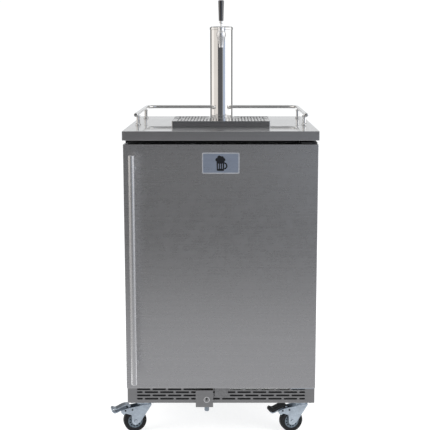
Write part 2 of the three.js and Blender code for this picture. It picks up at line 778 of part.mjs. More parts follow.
// One side plate: a leg that narrows to the axle, and on a braked caster a horn that
// reaches over the wheel to the pedal.
function cheekOutline(braked) {
  const cheek = new THREE.Shape();
  cheek.moveTo(-29, CHEEK.top);
  cheek.lineTo(16, 31);
  cheek.absarc(CASTER.trail, WHEEL_RADIUS, 13.5, -2.65, 0, false);
  cheek.lineTo(42.4, 57);
  if (braked) {
    cheek.lineTo(45, 62);
    cheek.lineTo(62, 68.5);
    cheek.lineTo(70, 63.5);
    cheek.lineTo(78, 73);
    cheek.lineTo(75, 79.5);
    cheek.lineTo(57, 84);
    cheek.lineTo(22, 88.5);
  } else {
    cheek.lineTo(42, 76);
    cheek.lineTo(30, 87);
  }
  cheek.lineTo(10, CHEEK.top);
  cheek.closePath();
  return cheek;
}

function fork(braked) {
  const { inner, thickness, top } = CHEEK;
  const outer = inner + thickness;
  const shape = cheekOutline(braked);
  return join(
    frontal(shape, -outer, -inner, 3),
    frontal(shape, inner, outer, 3),
    block([-27, 24], [-outer, outer], [top - 3, top]),
    turned([[0, top - 1], [22, top - 1], [22, top + 0.7], [0, top + 0.7]], SMALL_RADIAL),
    deepRod(CASTER.trail, WHEEL_RADIUS, -outer - 3, outer + 3, AXLE_RADIUS),
    deepRod(CASTER.trail, WHEEL_RADIUS, outer, outer + 3, 7, 6),
    deepRod(CASTER.trail, WHEEL_RADIUS, -outer - 3, -outer, 7, 6),
  );
}

// Wheel parts are turned about Z, then laid over so that they turn about the axle.
function onAxle(geometry) {
  return geometry.rotateX(Math.PI / 2).translate(CASTER.trail, 0, WHEEL_RADIUS);
}

function hub() {
  const bore = AXLE_RADIUS + GAP;
  const [rim, nave] = [WHEEL_HALF - 2, WHEEL_HALF + 1];
  return onAxle(turned([
    [HUB_RADIUS, -rim], [HUB_RADIUS, rim], [10, nave], [bore, nave],
    [bore, -nave], [10, -nave], [HUB_RADIUS, -rim],
  ], 20));
}

function tyre() {
  const inner = HUB_RADIUS + GAP;
  const shoulder = WHEEL_RADIUS - 3.5;
  return onAxle(turned([
    [inner, -WHEEL_HALF], [shoulder, -WHEEL_HALF], [WHEEL_RADIUS, -6], [WHEEL_RADIUS, 6],
    [shoulder, WHEEL_HALF], [inner, WHEEL_HALF], [inner, -WHEEL_HALF],
  ], 28));
}

// The pedal is a bent strip, hung on a pin over the wheel, that rolls over at its tip and
// runs back under itself.
function brakePedal() {
  const side = outline([
    [44.5, 86.5], [46, 91], [52, 92.2], [60, 92.2], [70, 90.3], [80, 87.4], [90, 84.9],
    [96.5, 86.2], [102.5, 89], [107.2, 85.5], [106.2, 76.8], [99.2, 70.6], [89.5, 71.3],
    [79.3, 76.2], [69.5, 80.4], [59.5, 83.2], [60.5, 86.3], [70.6, 83.5], [80.7, 79.3],
    [90.5, 74.6], [97.8, 74], [102.8, 78.2], [103.9, 83.5], [102.4, 85.2], [97.6, 82.9],
    [90, 81.5], [79.7, 84.2], [69.6, 86.9], [59.6, 88.8], [52, 88.8], [49, 86.5],
  ]);
  const tongue = frontal(side, -12, 12);
  return join(tongue, deepRod(PEDAL_PIVOT.u, PEDAL_PIVOT.z, -12.5, 12.5, 3));
}

function caster(name, x, y, braked) {
  const group = new THREE.Group();
  group.position.set(x, y, 0);
  group.rotation.z = THREE.MathUtils.degToRad(CASTER.yaw);
  piece(`${name}_caster_plate`, casterPlate(), zinc).position.set(x, y, 0);
  piece(`${name}_caster_fork`, fork(braked), zinc, group);
  piece(`${name}_wheel_hub`, hub(), hubPlastic, group);
  piece(`${name}_wheel_tyre`, tyre(), blackRubber, group);
  if (braked) piece(`${name}_brake_pedal`, brakePedal(), zinc, group);
  kegerator.add(group);
}

// ---------------------------------------------------------------- assembly

piece('cabinet_shell', cabinetShell(), brushedSteel);
piece('insulation_foam', insulationFoam(), insulation);
piece('inner_liner', innerLiner(), whitePlastic);
piece('base_pan', block([-297.7, 297.7], [60.3, 637.7], [CABINET_BOTTOM, 110]), galvanised);
piece('rear_cover', rearCover(), galvanised);
piece('power_inlet', powerInlet(), blackPlastic);
piece('compressor', compressor(), blackPaint);
piece('condensate_pan', condensatePan(), whitePlastic);
piece('kick_grille', kickGrille(), brushedSteel);
piece('evaporator_cover', evaporatorCover(), whitePlastic);
piece('fan_rotor', fanRotor(), blackPlastic);
piece('thermostat_box', thermostatBox(), whitePlastic);
piece('thermostat_dial', thermostatDial(), blackPlastic);

piece('worktop_core', worktopCore(), blackPlastic);
piece('worktop', worktop(), brushedSteel);
piece('guard_rail', guardRail(), brightSteel);
for (const [side, sideName] of [[-1, 'left'], [1, 'right']]) {
  RAIL_POST.rows.forEach((y, row) => {
    const post = piece(`rail_post_${row ? 'rear' : 'front'}_${sideName}`, railPost(), brightSteel);
    post.position.set(side * RAIL.half, y, 0);
  });
}

piece('tower_column', towerColumn(), brightSteel);
piece('tower_cap', towerCap(), brightSteel);
piece('beer_shank', beerShank(), brightSteel);
piece('coupling_nut', couplingNut(), brightSteel);
piece('faucet_body', faucetBody(), brightSteel);
piece('faucet_shuttle', faucetShuttle(), brightSteel);
piece('faucet_lever', faucetLever(), brightSteel);
piece('tap_handle', tapHandle(), glossBlack);
piece('beer_line', beerLine(), whitePlastic);
piece('drip_tray', dripTray(), brushedSteel);
piece('drip_grate', dripGrate(), brushedSteel);

piece('door_skin', doorSkin(), brushedSteel);
piece('door_liner', doorLiner(), whitePlastic);
piece('door_gasket', doorGasket(), blackRubber);
piece('door_handle', doorHandle(), brushedSteel);
piece('badge_plate', badgePlate(), badgeSteel);
piece('lock_tab', lockTab(), brushedSteel);
piece('upper_hinge', upperHinge(), zinc);
piece('lower_hinge', lowerHinge(), zinc);
piece('lock_housing', lockHousing(), brushedSteel);
piece('lock_plug', lockPlug(), brightSteel);
piece('lock_cam', lockCam(), zinc);

for (const [side, sideName] of [[-1, 'left'], [1, 'right']]) {
  caster(`front_${sideName}`, side * CASTER.x, CASTER.frontY, true);
  caster(`rear_${sideName}`, side * CASTER.x, CASTER.rearY, false);
}

// The origin is on the floor, in the middle of the footprint from the left pedal's tip to
// the worktop's right edge, and from the handle's front to the worktop's back edge.
kegerator.position.set(30, -300, 0);

export default kegerator;
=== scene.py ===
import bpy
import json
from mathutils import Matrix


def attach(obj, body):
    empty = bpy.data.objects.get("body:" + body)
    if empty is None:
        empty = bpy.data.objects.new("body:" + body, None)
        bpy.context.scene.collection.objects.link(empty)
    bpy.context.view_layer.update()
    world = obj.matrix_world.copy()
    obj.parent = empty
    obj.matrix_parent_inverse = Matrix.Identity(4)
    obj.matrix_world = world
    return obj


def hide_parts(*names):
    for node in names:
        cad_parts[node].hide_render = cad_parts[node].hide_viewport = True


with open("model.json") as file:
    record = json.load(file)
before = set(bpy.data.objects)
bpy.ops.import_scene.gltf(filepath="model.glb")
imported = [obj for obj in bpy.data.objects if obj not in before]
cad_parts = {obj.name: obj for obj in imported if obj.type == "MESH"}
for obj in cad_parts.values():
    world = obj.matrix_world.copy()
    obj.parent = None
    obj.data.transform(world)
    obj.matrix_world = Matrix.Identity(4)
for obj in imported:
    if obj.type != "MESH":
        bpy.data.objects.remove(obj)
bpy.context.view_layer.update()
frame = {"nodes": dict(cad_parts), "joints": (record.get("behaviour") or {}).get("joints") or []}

import json
import math
import bmesh
import bpy
from mathutils import Matrix, Vector

# ---- Camera. A long lens, level with the tap's spout and tilted down, so that the
# cabinet's sides stay nearly upright and a little of the worktop shows.
scene = bpy.context.scene
scene.view_settings.view_transform = "Standard"
camera_data = bpy.data.cameras.new("camera")
camera_data.sensor_width = 36.0
camera_data.lens = 81.63
camera_data.shift_x = -0.0302
camera_data.shift_y = -0.0349
camera = bpy.data.objects.new("camera", camera_data)
camera.location = (0.0525, -3.300, 1.2534)
camera.rotation_euler = (math.radians(81.14), 0, 0)
scene.collection.objects.link(camera)
scene.camera = camera

# ---- Studio. A white floor and a white room to the camera. Reflections see a room of
# even grey with cards round it: dark behind the camera, pale to the sides.
world = bpy.data.worlds.new("white_room")
scene.world = world
world.use_nodes = True
room, room_links = world.node_tree.nodes, world.node_tree.links
room_light = room["Background"]
room_light.inputs["Color"].default_value = (0.98, 0.99, 1.0, 1.0)
seen_from = room.new("ShaderNodeLightPath")
room_level = room.new("ShaderNodeMapRange")
room_level.inputs["To Min"].default_value = 0.80
room_level.inputs["To Max"].default_value = 1.05
room_links.new(seen_from.outputs["Is Camera Ray"], room_level.inputs["Value"])
room_links.new(room_level.outputs["Result"], room_light.inputs["Strength"])

floor_mesh = bpy.data.meshes.new("studio_floor")
floor_mesh.from_pydata([(-9, -9, 0), (9, -9, 0), (9, 9, 0), (-9, 9, 0)], [], [(0, 1, 2, 3)])
studio_floor = bpy.data.objects.new("studio_floor", floor_mesh)
floor_paint = bpy.data.materials.new("floor_paint")
floor_paint.use_nodes = True
floor_shader = floor_paint.node_tree.nodes["Principled BSDF"]
floor_shader.inputs["Base Color"].default_value = (0.40, 0.40, 0.40, 1)
floor_shader.inputs["Roughness"].default_value = 0.9
floor_shader.inputs["Emission Color"].default_value = (1, 1, 1, 1)
floor_shader.inputs["Emission Strength"].default_value = 0.72
floor_mesh.materials.append(floor_paint)
scene.collection.objects.link(studio_floor)


def reflection_card(name, corners, tone):
    """A card of an even tone that only reflections see."""
    mesh = bpy.data.meshes.new(name)
    mesh.from_pydata(corners, [], [(0, 1, 2, 3)])
    paint = bpy.data.materials.new(name)
    paint.use_nodes = True
    nodes, links = paint.node_tree.nodes, paint.node_tree.links
    nodes.remove(nodes["Principled BSDF"])
    glow = nodes.new("ShaderNodeEmission")
    glow.inputs["Color"].default_value = (*tone, 1)
    links.new(glow.outputs["Emission"], nodes["Material Output"].inputs["Surface"])
    mesh.materials.append(paint)
    card = bpy.data.objects.new(name, mesh)
    card.visible_camera = card.visible_diffuse = card.visible_shadow = False
    card.visible_transmission = card.visible_volume_scatter = False
    scene.collection.objects.link(card)


def upright_card(name, start, end, low, high, tone):
    (x0, y0), (x1, y1) = start, end
    reflection_card(name, [(x0, y0, low), (x1, y1, low), (x1, y1, high), (x0, y0, high)], tone)


def floor_card(name, left, right, near, far, tone):
    corners = [(left, near, 0.002), (right, near, 0.002), (right, far, 0.002), (left, far, 0.002)]
    reflection_card(name, corners, tone)


upright_card("front_dark", (-2.81, -3.9), (0.71, -3.9), 0.60, 3.4, (0.11, 0.11, 0.115))
upright_card("front_middle", (-2.81, -3.9), (0.71, -3.9), 0.3, 0.60, (0.36, 0.36, 0.362))
upright_card("front_low", (-2.81, -3.9), (0.71, -3.9), 0.0, 0.3, (0.10, 0.10, 0.102))
upright_card("front_grey", (0.71, -3.9), (1.35, -3.9), 0.0, 3.4, (0.36, 0.37, 0.38))
upright_card("front_blue", (1.35, -3.9), (3.41, -3.9), 0.7, 3.4, (0.54, 0.62, 0.78))
upright_card("front_blue_low", (1.35, -3.9), (3.41, -3.9), 0.0, 0.7, (0.46, 0.50, 0.58))
upright_card("left_warm", (-3.0, -0.42), (-2.81, -3.9), 0.7, 3.4, (0.86, 0.82, 0.78))
upright_card("left_warm_low", (-3.0, -0.42), (-2.81, -3.9), 0.0, 0.7, (0.42, 0.40, 0.385))
upright_card("left_bright", (-3.0, 1.7), (-3.0, -0.42), 0.7, 3.4, (1.12, 1.08, 1.04))
upright_card("left_low", (-3.0, 1.7), (-3.0, -0.42), 0.0, 0.7, (0.40, 0.38, 0.365))
upright_card("back_left", (-0.9, 3.6), (-3.0, 1.7), 0.0, 3.4, (0.24, 0.235, 0.23))
upright_card("right_bright", (3.41, -3.9), (3.4, 1.9), 0.7, 3.4, (1.4, 1.4, 1.4))
upright_card("right_low", (3.41, -3.9), (3.4, 1.9), 0.0, 0.7, (0.46, 0.48, 0.52))
upright_card("back_right", (3.4, 1.9), (0.9, 3.6), 0.0, 3.4, (0.26, 0.26, 0.26))
floor_card("floor_near", -4, 4, -0.42, -1.65, (0.50, 0.50, 0.51))
floor_card("floor_middle", -4, 4, -1.65, -2.5, (0.39, 0.39, 0.395))
floor_card("floor_far", -4, 4, -2.5, -3.1, (0.24, 0.24, 0.244))
floor_card("floor_end", -4, 4, -3.1, -3.9, (0.14, 0.14, 0.142))
floor_card("floor_left", -4, -0.9, 1.6, -0.42, (0.44, 0.43, 0.42))
floor_card("floor_right", 0.9, 4, 1.6, -0.42, (0.50, 0.52, 0.56))
for name, near, far, tone in (
    ("ceiling_front", -2.6, -0.8, 0.30), ("ceiling_strip", -0.8, -0.3, 1.5),
    ("ceiling_back", -0.3, 1.8, 0.30),
):
    corners = [(-2.4, near, 3.35), (2.4, near, 3.35), (2.4, far, 3.35), (-2.4, far, 3.35)]
    reflection_card(name, corners, (tone, tone, tone))


def softbox(name, place, aim, size, power):
    light_data = bpy.data.lights.new(name, "AREA")
    light_data.shape = "RECTANGLE"
    light_data.size, light_data.size_y = size
    light_data.energy = power
    light = bpy.data.objects.new(name, light_data)
    light.location = place
    light.rotation_euler = (Vector(aim) - Vector(place)).to_track_quat("-Z", "Y").to_euler()
    light.visible_glossy = False
    scene.collection.objects.link(light)


softbox("softbox_right", (2.4, -1.6, 1.9), (0, 0, 0.8), (1.2, 2.2), 60)
softbox("softbox_left", (-2.6, -1.2, 1.8), (0, 0, 0.8), (1.2, 2.2), 42)
softbox("softbox_top", (0, -0.4, 3.2), (0, 0, 1.0), (2.2, 2.2), 45)

# ---- Casters. Four 75 mm swivel casters: a zinc-plated top plate with a ball race, a
# pressed fork, a rubber tyre on a grey hub, and a foot brake on each front one. Four
# screws hold each plate to the base pan.
MM = 0.001


def shader_group(name, inputs, outputs):
    """A shader node group with these named sockets; returns it with its end nodes."""
    group = bpy.data.node_groups.new(name, "ShaderNodeTree")
    for label, kind, value in inputs:
        socket = group.interface.new_socket(name=label, in_out="INPUT", socket_type=kind)
        socket.default_value = value
    for label, kind in outputs:
        group.interface.new_socket(name=label, in_out="OUTPUT", socket_type=kind)
    return group, group.nodes.new("NodeGroupInput"), group.nodes.new("NodeGroupOutput")


def noise_in(tree, vector, scale, detail=3.0, roughness=0.5):
    node = tree.nodes.new("ShaderNodeTexNoise")
    node.inputs["Detail"].default_value = detail
    node.inputs["Roughness"].default_value = roughness
    if isinstance(scale, (int, float)):
        node.inputs["Scale"].default_value = scale
    else:
        tree.links.new(scale, node.inputs["Scale"])
    tree.links.new(vector, node.inputs["Vector"])
    return node.outputs["Fac"]


def math_in(tree, operation, a, b=None, clamp=False):
    node = tree.nodes.new("ShaderNodeMath")
    node.operation = operation
    node.use_clamp = clamp
    for socket, value in zip(node.inputs, (a, b)):
        if value is None:
            continue
        if isinstance(value, (int, float)):
            socket.default_value = value
        else:
            tree.links.new(value, socket)
    return node.outputs["Value"]


def range_in(tree, value, low, high, to_low, to_high):
    node = tree.nodes.new("ShaderNodeMapRange")
    for label, number in (("From Min", low), ("From Max", high), ("To Min", to_low), ("To Max", to_high)):
        if isinstance(number, (int, float)):
            node.inputs[label].default_value = number
        else:
            tree.links.new(number, node.inputs[label])
    tree.links.new(value, node.inputs["Value"])
    return node.outputs["Result"]


def blend_in(tree, factor, a, b):
    node = tree.nodes.new("ShaderNodeMix")
    node.data_type = "RGBA"
    tree.links.new(factor, node.inputs["Factor"])
    for socket, value in ((node.inputs["A"], a), (node.inputs["B"], b)):
        if isinstance(value, tuple):
            socket.default_value = (*value, 1)
        else:
            tree.links.new(value, socket)
    return node.outputs["Result"]


# Edge wear: a mask of the outside edges, broken up by fine noise.
edge_wear, group_in, group_out = shader_group(
    "edge_wear",
    [("Amount", "NodeSocketFloat", 0.5), ("Break-up", "NodeSocketFloat", 160.0)],
    [("Mask", "NodeSocketFloat")],
)
group_geometry = edge_wear.nodes.new("ShaderNodeNewGeometry")
group_place = edge_wear.nodes.new("ShaderNodeTexCoord")
edge_peak = range_in(edge_wear, group_geometry.outputs["Pointiness"], 0.52, 0.60, 0.0, 1.0)
edge_noise = noise_in(edge_wear, group_place.outputs["Object"], group_in.outputs["Break-up"], 4.0, 0.6)
edge_mask = math_in(edge_wear, "MULTIPLY", edge_peak, range_in(edge_wear, edge_noise, 0.35, 0.7, 0.0, 1.0))
edge_wear.links.new(
    math_in(edge_wear, "MULTIPLY", edge_mask, group_in.outputs["Amount"], True), group_out.inputs["Mask"]
)

# Handling marks: broad soft patches and small smears, as cleaning and hands leave them,
# and dust that settles on what faces up.
handling, group_in, group_out = shader_group(
    "handling",
    [("Patch Size", "NodeSocketFloat", 4.0)],
    [("Patches", "NodeSocketFloat"), ("Smears", "NodeSocketFloat"), ("Dust", "NodeSocketFloat")],
)
group_geometry = handling.nodes.new("ShaderNodeNewGeometry")
group_place = handling.nodes.new("ShaderNodeTexCoord")
patch_noise = noise_in(handling, group_place.outputs["Object"], group_in.outputs["Patch Size"], 2.0)
smear_noise = noise_in(handling, group_place.outputs["Object"], 38.0, 5.0, 0.65)
facing = handling.nodes.new("ShaderNodeSeparateXYZ")
handling.links.new(group_geometry.outputs["Normal"], facing.inputs["Vector"])
upward = range_in(handling, facing.outputs["Z"], 0.6, 1.0, 0.0, 1.0)
handling.links.new(range_in(handling, patch_noise, 0.3, 0.7, 0.0, 1.0), group_out.inputs["Patches"])
handling.links.new(range_in(handling, smear_noise, 0.45, 0.75, 0.0, 1.0), group_out.inputs["Smears"])
handling.links.new(math_in(handling, "MULTIPLY", upward, smear_noise), group_out.inputs["Dust"])

# Fine grain: a moulded or plated surface's tooth, as a height.
fine_grain, group_in, group_out = shader_group(
    "fine_grain", [("Scale", "NodeSocketFloat", 900.0)], [("Height", "NodeSocketFloat")]
)
group_place = fine_grain.nodes.new("ShaderNodeTexCoord")
fine_grain.links.new(
    noise_in(fine_grain, group_place.outputs["Object"], group_in.outputs["Scale"], 2.0, 0.7),
    group_out.inputs["Height"],
)


def new_material(name):
    material = bpy.data.materials.new(name)
    material.use_nodes = True
    return material, material.node_tree, material.node_tree.nodes["Principled BSDF"]


def place_group(tree, group, **values):
    node = tree.nodes.new("ShaderNodeGroup")
    node.node_tree = group
    for label, value in values.items():
        node.inputs[label.replace("_", " ")].default_value = value
    return node


def bump_from(tree, shader, height, strength, distance):
    bump = tree.nodes.new("ShaderNodeBump")
    bump.inputs["Strength"].default_value = strength
    bump.inputs["Distance"].default_value = distance
    tree.links.new(height, bump.inputs["Height"])
    tree.links.new(bump.outputs["Normal"], shader.inputs["Normal"])


def plain_finish(name, dark, light, worn, roughness, metallic, grain, depth, wear=0.4):
    """A material from a dark and a light tone in soft patches, with worn edges and grain."""
    material, tree, shader = new_material(name)
    marks = place_group(tree, handling, Patch_Size=9.0)
    edges = place_group(tree, edge_wear, Amount=wear)
    tooth = place_group(tree, fine_grain, Scale=grain)
    tone = blend_in(tree, marks.outputs["Patches"], dark, light)
    tree.links.new(blend_in(tree, edges.outputs["Mask"], tone, worn), shader.inputs["Base Color"])
    low, high = roughness
    tree.links.new(range_in(tree, marks.outputs["Smears"], 0.0, 1.0, low, high), shader.inputs["Roughness"])
    shader.inputs["Metallic"].default_value = metallic
    bump_from(tree, shader, tooth.outputs["Height"], 0.35, depth)
    return material


def zinc_finish(name, cells, dark, light, worn, roughness):
    """Zinc with its spangle: cells of slightly different tone."""
    material, tree, shader = new_material(name)
    place = tree.nodes.new("ShaderNodeTexCoord")
    spangle = tree.nodes.new("ShaderNodeTexVoronoi")
    spangle.inputs["Scale"].default_value = cells
    tree.links.new(place.outputs["Object"], spangle.inputs["Vector"])
    marks = place_group(tree, handling, Patch_Size=30.0)
    edges = place_group(tree, edge_wear, Amount=0.55)
    shade = tree.nodes.new("ShaderNodeSeparateColor")
    tree.links.new(spangle.outputs["Color"], shade.inputs["Color"])
    tone = blend_in(tree, shade.outputs["Red"], dark, light)
    tone = blend_in(tree, marks.outputs["Smears"], tone, tuple(channel * 0.86 for channel in dark))
    tree.links.new(blend_in(tree, edges.outputs["Mask"], tone, worn), shader.inputs["Base Color"])
    low, high = roughness
    tree.links.new(range_in(tree, marks.outputs["Patches"], 0.0, 1.0, low, high), shader.inputs["Roughness"])
    shader.inputs["Metallic"].default_value = 1.0
    bump_from(tree, shader, spangle.outputs["Distance"], 0.12, 0.0004)
    return material


zinc_plate = zinc_finish(
    "zinc_plate", 260.0, (0.36, 0.41, 0.47), (0.44, 0.50, 0.56), (0.66, 0.71, 0.76), (0.32, 0.46)
)
tyre_rubber = plain_finish(
    "tyre_rubber", (0.004, 0.005, 0.006), (0.009, 0.010, 0.012), (0.04, 0.04, 0.045),
    (0.55, 0.75), 0.0, 700.0, 0.0004, 0.5,
)
tyre_rubber.node_tree.nodes["Principled BSDF"].inputs["Specular IOR Level"].default_value = 0.25
hub_plastic = plain_finish(
    "hub_plastic", (0.085, 0.115, 0.145), (0.12, 0.155, 0.19), (0.22, 0.26, 0.30),
    (0.38, 0.52), 0.0, 800.0, 0.0003,
)
# A near-black that is painted shade: it fills the hub's hollow, the keyway's recess and the space behind the
# grille's slots.
painted_shade_black = plain_finish(
    "painted_shade_black", (0.006, 0.006, 0.007), (0.012, 0.012, 0.013), (0.02, 0.02, 0.02),
    (0.6, 0.8), 0.0, 500.0, 0.0003,
)


def take_mesh(name, mesh, material, body, slot, *nodes, flatten=True):
    """Puts a mesh in the scene as a piece that rides on a body, with soft shading on
    round surfaces and crisp edges, and stands it for its CAD nodes."""
    if mesh.materials:
        mesh.materials.clear()
    mesh.materials.append(material)
    shading = bmesh.new()
    shading.from_mesh(mesh)
    for face in shading.faces:
        face.smooth = True
        face.material_index = 0
    for edge in shading.edges:
        edge.smooth = edge.calc_face_angle(0.0) < math.radians(38)
    shading.to_mesh(mesh)
    shading.free()
    piece = bpy.data.objects.new(name, mesh)
    scene.collection.objects.link(piece)
    if flatten:
        weighting = piece.modifiers.new("face_weights", "WEIGHTED_NORMAL")
        weighting.keep_sharp = True
    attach(piece, body)
    if nodes:
        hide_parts(*nodes)
    return piece


def mesh_of(bm, name):
    mesh = bpy.data.meshes.new(name)
    bmesh.ops.recalc_face_normals(bm, faces=bm.faces)
    bm.to_mesh(mesh)
    bm.free()
    return mesh


def arc(x, y, radius, start, end, steps):
    """Points on an arc, with its angles in degrees."""
    angles = [math.radians(start + (end - start) * i / steps) for i in range(steps + 1)]
    return [(x + radius * math.cos(a), y + radius * math.sin(a)) for a in angles]


def filleted(points, radii, steps=4):
    """A closed outline with its corners rounded, each to its own radius."""
    if not isinstance(radii, (list, tuple)):
        radii = [radii] * len(points)
    outline = []
    for i, (point, radius) in enumerate(zip(points, radii)):
        here = Vector(point)
        before = Vector(points[i - 1]) - here
        after = Vector(points[(i + 1) % len(points)]) - here
        half = before.angle(after) / 2
        reach = min(radius / math.tan(half), before.length * 0.49, after.length * 0.49)
        if radius <= 0 or reach < 1e-6:
            outline.append(tuple(here))
            continue
        start, end = here + before.normalized() * reach, here + after.normalized() * reach
        for k in range(steps + 1):
            t = k / steps
            corner = start * (1 - t) ** 2 + here * 2 * t * (1 - t) + end * t**2
            outline.append(tuple(corner))
    return outline


def oblong(x, y, length, height, steps=6):
    """A slot with round ends, along X."""
    radius = height / 2
    reach = length / 2 - radius
    return arc(x + reach, y, radius, -90, 90, steps) + arc(x - reach, y, radius, 90, 270, steps)


FRONTAL = Matrix(((1, 0, 0, 0), (0, 0, -1, 0), (0, 1, 0, 0), (0, 0, 0, 1)))
LEVEL = Matrix.Identity(4)


def cut_sheet(loops, low, high, turn=LEVEL, edge=0.3, steps=2):
    """Sheet cut to closed outlines, the first the edge and the others holes, with its rims
    rounded over. It fills low to high on its own Z; FRONTAL lays that along -Y."""
    curve = bpy.data.curves.new("outline", "CURVE")
    curve.dimensions = "2D"
    curve.fill_mode = "BOTH"
    curve.extrude = ((high - low) / 2 - edge) * MM
    curve.bevel_depth = edge * MM
    curve.bevel_resolution = steps - 1
    for loop in loops:
        spline = curve.splines.new("POLY")
        spline.points.add(len(loop) - 1)
        for point, (x, y) in zip(spline.points, loop):
            point.co = (x * MM, y * MM, 0, 1)
        spline.use_cyclic_u = True
    carrier = bpy.data.objects.new("outline", curve)
    scene.collection.objects.link(carrier)
    graph = bpy.context.evaluated_depsgraph_get()
    mesh = bpy.data.meshes.new_from_object(carrier.evaluated_get(graph))
    bpy.data.objects.remove(carrier)
    mesh.transform(Matrix.Translation((0, 0, (low + high) / 2 * MM)))
    mesh.transform(turn)
    bm = bmesh.new()
    bm.from_mesh(mesh)
    bmesh.ops.remove_doubles(bm, verts=bm.verts, dist=1e-7)
    bmesh.ops.recalc_face_normals(bm, faces=bm.faces)
    bm.to_mesh(mesh)
    bm.free()
    return mesh


def turned(profile, steps=64, turn=LEVEL):
    """A body turned about Z from [radius, z] points that start and end on the axis, or
    from a closed loop."""
    bm = bmesh.new()
    closed = profile[0] == profile[-1]
    points = profile[:-1] if closed else profile
    rings = []
    for radius, z in points:
        if radius < 1e-9:
            rings.append([bm.verts.new((0, 0, z * MM))])
            continue
        angles = [2 * math.pi * i / steps for i in range(steps)]
        rings.append([
            bm.verts.new((radius * MM * math.cos(a), radius * MM * math.sin(a), z * MM)) for a in angles
        ])
    pairs = list(zip(rings, rings[1:]))
    if closed:
        pairs.append((rings[-1], rings[0]))
    for lower, upper in pairs:
        for i in range(steps):
            k = (i + 1) % steps
            corners = [
                lower[i % len(lower)], lower[k % len(lower)], upper[k % len(upper)], upper[i % len(upper)]
            ]
            unique = list(dict.fromkeys(corners))
            if len(unique) > 2:
                bm.faces.new(unique)
    mesh = mesh_of(bm, "turned")
    mesh.transform(turn)
    return mesh


def rounded_profile(points, radii, steps=4):
    """An open [radius, z] profile whose inner corners are rounded."""
    loop = [points[0]]
    if not isinstance(radii, (list, tuple)):
        radii = [radii] * (len(points) - 2)
    for i in range(1, len(points) - 1):
        corner = filleted([points[i - 1], points[i], points[i + 1]], [0, radii[i - 1], 0], steps)
        loop.extend(corner[1:-1])
    loop.append(points[-1])
    return loop


def merged(*meshes):
    """Several meshes as one, for a piece that is welded or pressed from several shapes."""
    bm = bmesh.new()
    for mesh in meshes:
        bm.from_mesh(mesh)
    whole = bpy.data.meshes.new("merged")
    bm.to_mesh(whole)
    bm.free()
    return whole


def moved(mesh, turn):
    mesh.transform(turn)
    return mesh


def shift(x, y, z):
    return Matrix.Translation((x * MM, y * MM, z * MM))


def along_y(x, y, z):
    """Lays a body turned about Z so that its axis points forward, to -Y, from that place."""
    return shift(x, y, z) @ Matrix.Rotation(math.radians(90), 4, "X")


def hexagon(across):
    return [
        (across / 2 / math.cos(math.radians(30)) * math.cos(math.radians(60 * i)),
         across / 2 / math.cos(math.radians(30)) * math.sin(math.radians(60 * i)))
        for i in range(6)
    ]


def slab(low, high, edge, steps=3):
    """A block between two opposite corners, with its edges rounded over."""
    bm = bmesh.new()
    bmesh.ops.create_cube(bm, size=1.0)
    size = [abs(b - a) for a, b in zip(low, high)]
    middle = [(a + b) / 2 for a, b in zip(low, high)]
    for vert in bm.verts:
        vert.co = Vector([(c + v * s) * MM for c, v, s in zip(middle, vert.co, size)])
    if edge:
        bmesh.ops.bevel(
            bm, geom=bm.edges[:], offset=edge * MM, segments=steps, profile=0.5, affect="EDGES",
            clamp_overlap=True,
        )
    return mesh_of(bm, "slab")


def smooth_path(points, steps):
    """A smooth line through 2D points."""
    line = []
    ends = [points[0], *points, points[-1]]
    for a, b, c, d in zip(ends, ends[1:], ends[2:], ends[3:]):
        for k in range(steps):
            t = k / steps
            line.append(tuple(
                0.5 * (
                    2 * q + (r - p) * t + (2 * p - 5 * q + 4 * r - s) * t**2 + (3 * q - p - 3 * r + s) * t**3
                )
                for p, q, r, s in zip(a, b, c, d)
            ))
    line.append(tuple(points[-1]))
    return line


def strip_outline(line, thickness):
    """The closed side outline of a sheet of that thickness that follows a line."""
    left, right = [], []
    for i, point in enumerate(line):
        before, after = line[max(i - 1, 0)], line[min(i + 1, len(line) - 1)]
        run = Vector((after[0] - before[0], after[1] - before[1])).normalized()
        offset = Vector((-run.y, run.x)) * thickness / 2
        left.append((point[0] + offset.x, point[1] + offset.y))
        right.append((point[0] - offset.x, point[1] - offset.y))
    return left + right[::-1]


TRAIL, WHEEL_R, CHEEK_OUT, CHEEK_IN, FORK_TOP = 29, 37.5, 16.5, 14, 95
ACROSS = FRONTAL  # an outline in trail and height, laid across the wheel


def cheek_outline(braked):
    leg = [(-25, 90), (15.5, 31.5)] + arc(TRAIL, WHEEL_R, 11.8, 208, 355, 12) + [(42, 52)]
    if braked:
        over_wheel = [(42.4, 60.2), (62.4, 68.6), (66.5, 64.6), (70.5, 64.4), (77.5, 73), (75, 79.5)]
        over_wheel += [(57, 84), (40, 85.8), (22, 87.8), (12, 90)]
    else:
        over_wheel = [(42.5, 66), (41, 78), (33, 86), (24, 90)]
    corners = leg + over_wheel
    radii = [3, 2] + [0] * 13 + [4] + [3.5] * len(over_wheel)
    return filleted(corners, radii[: len(corners)], 3)


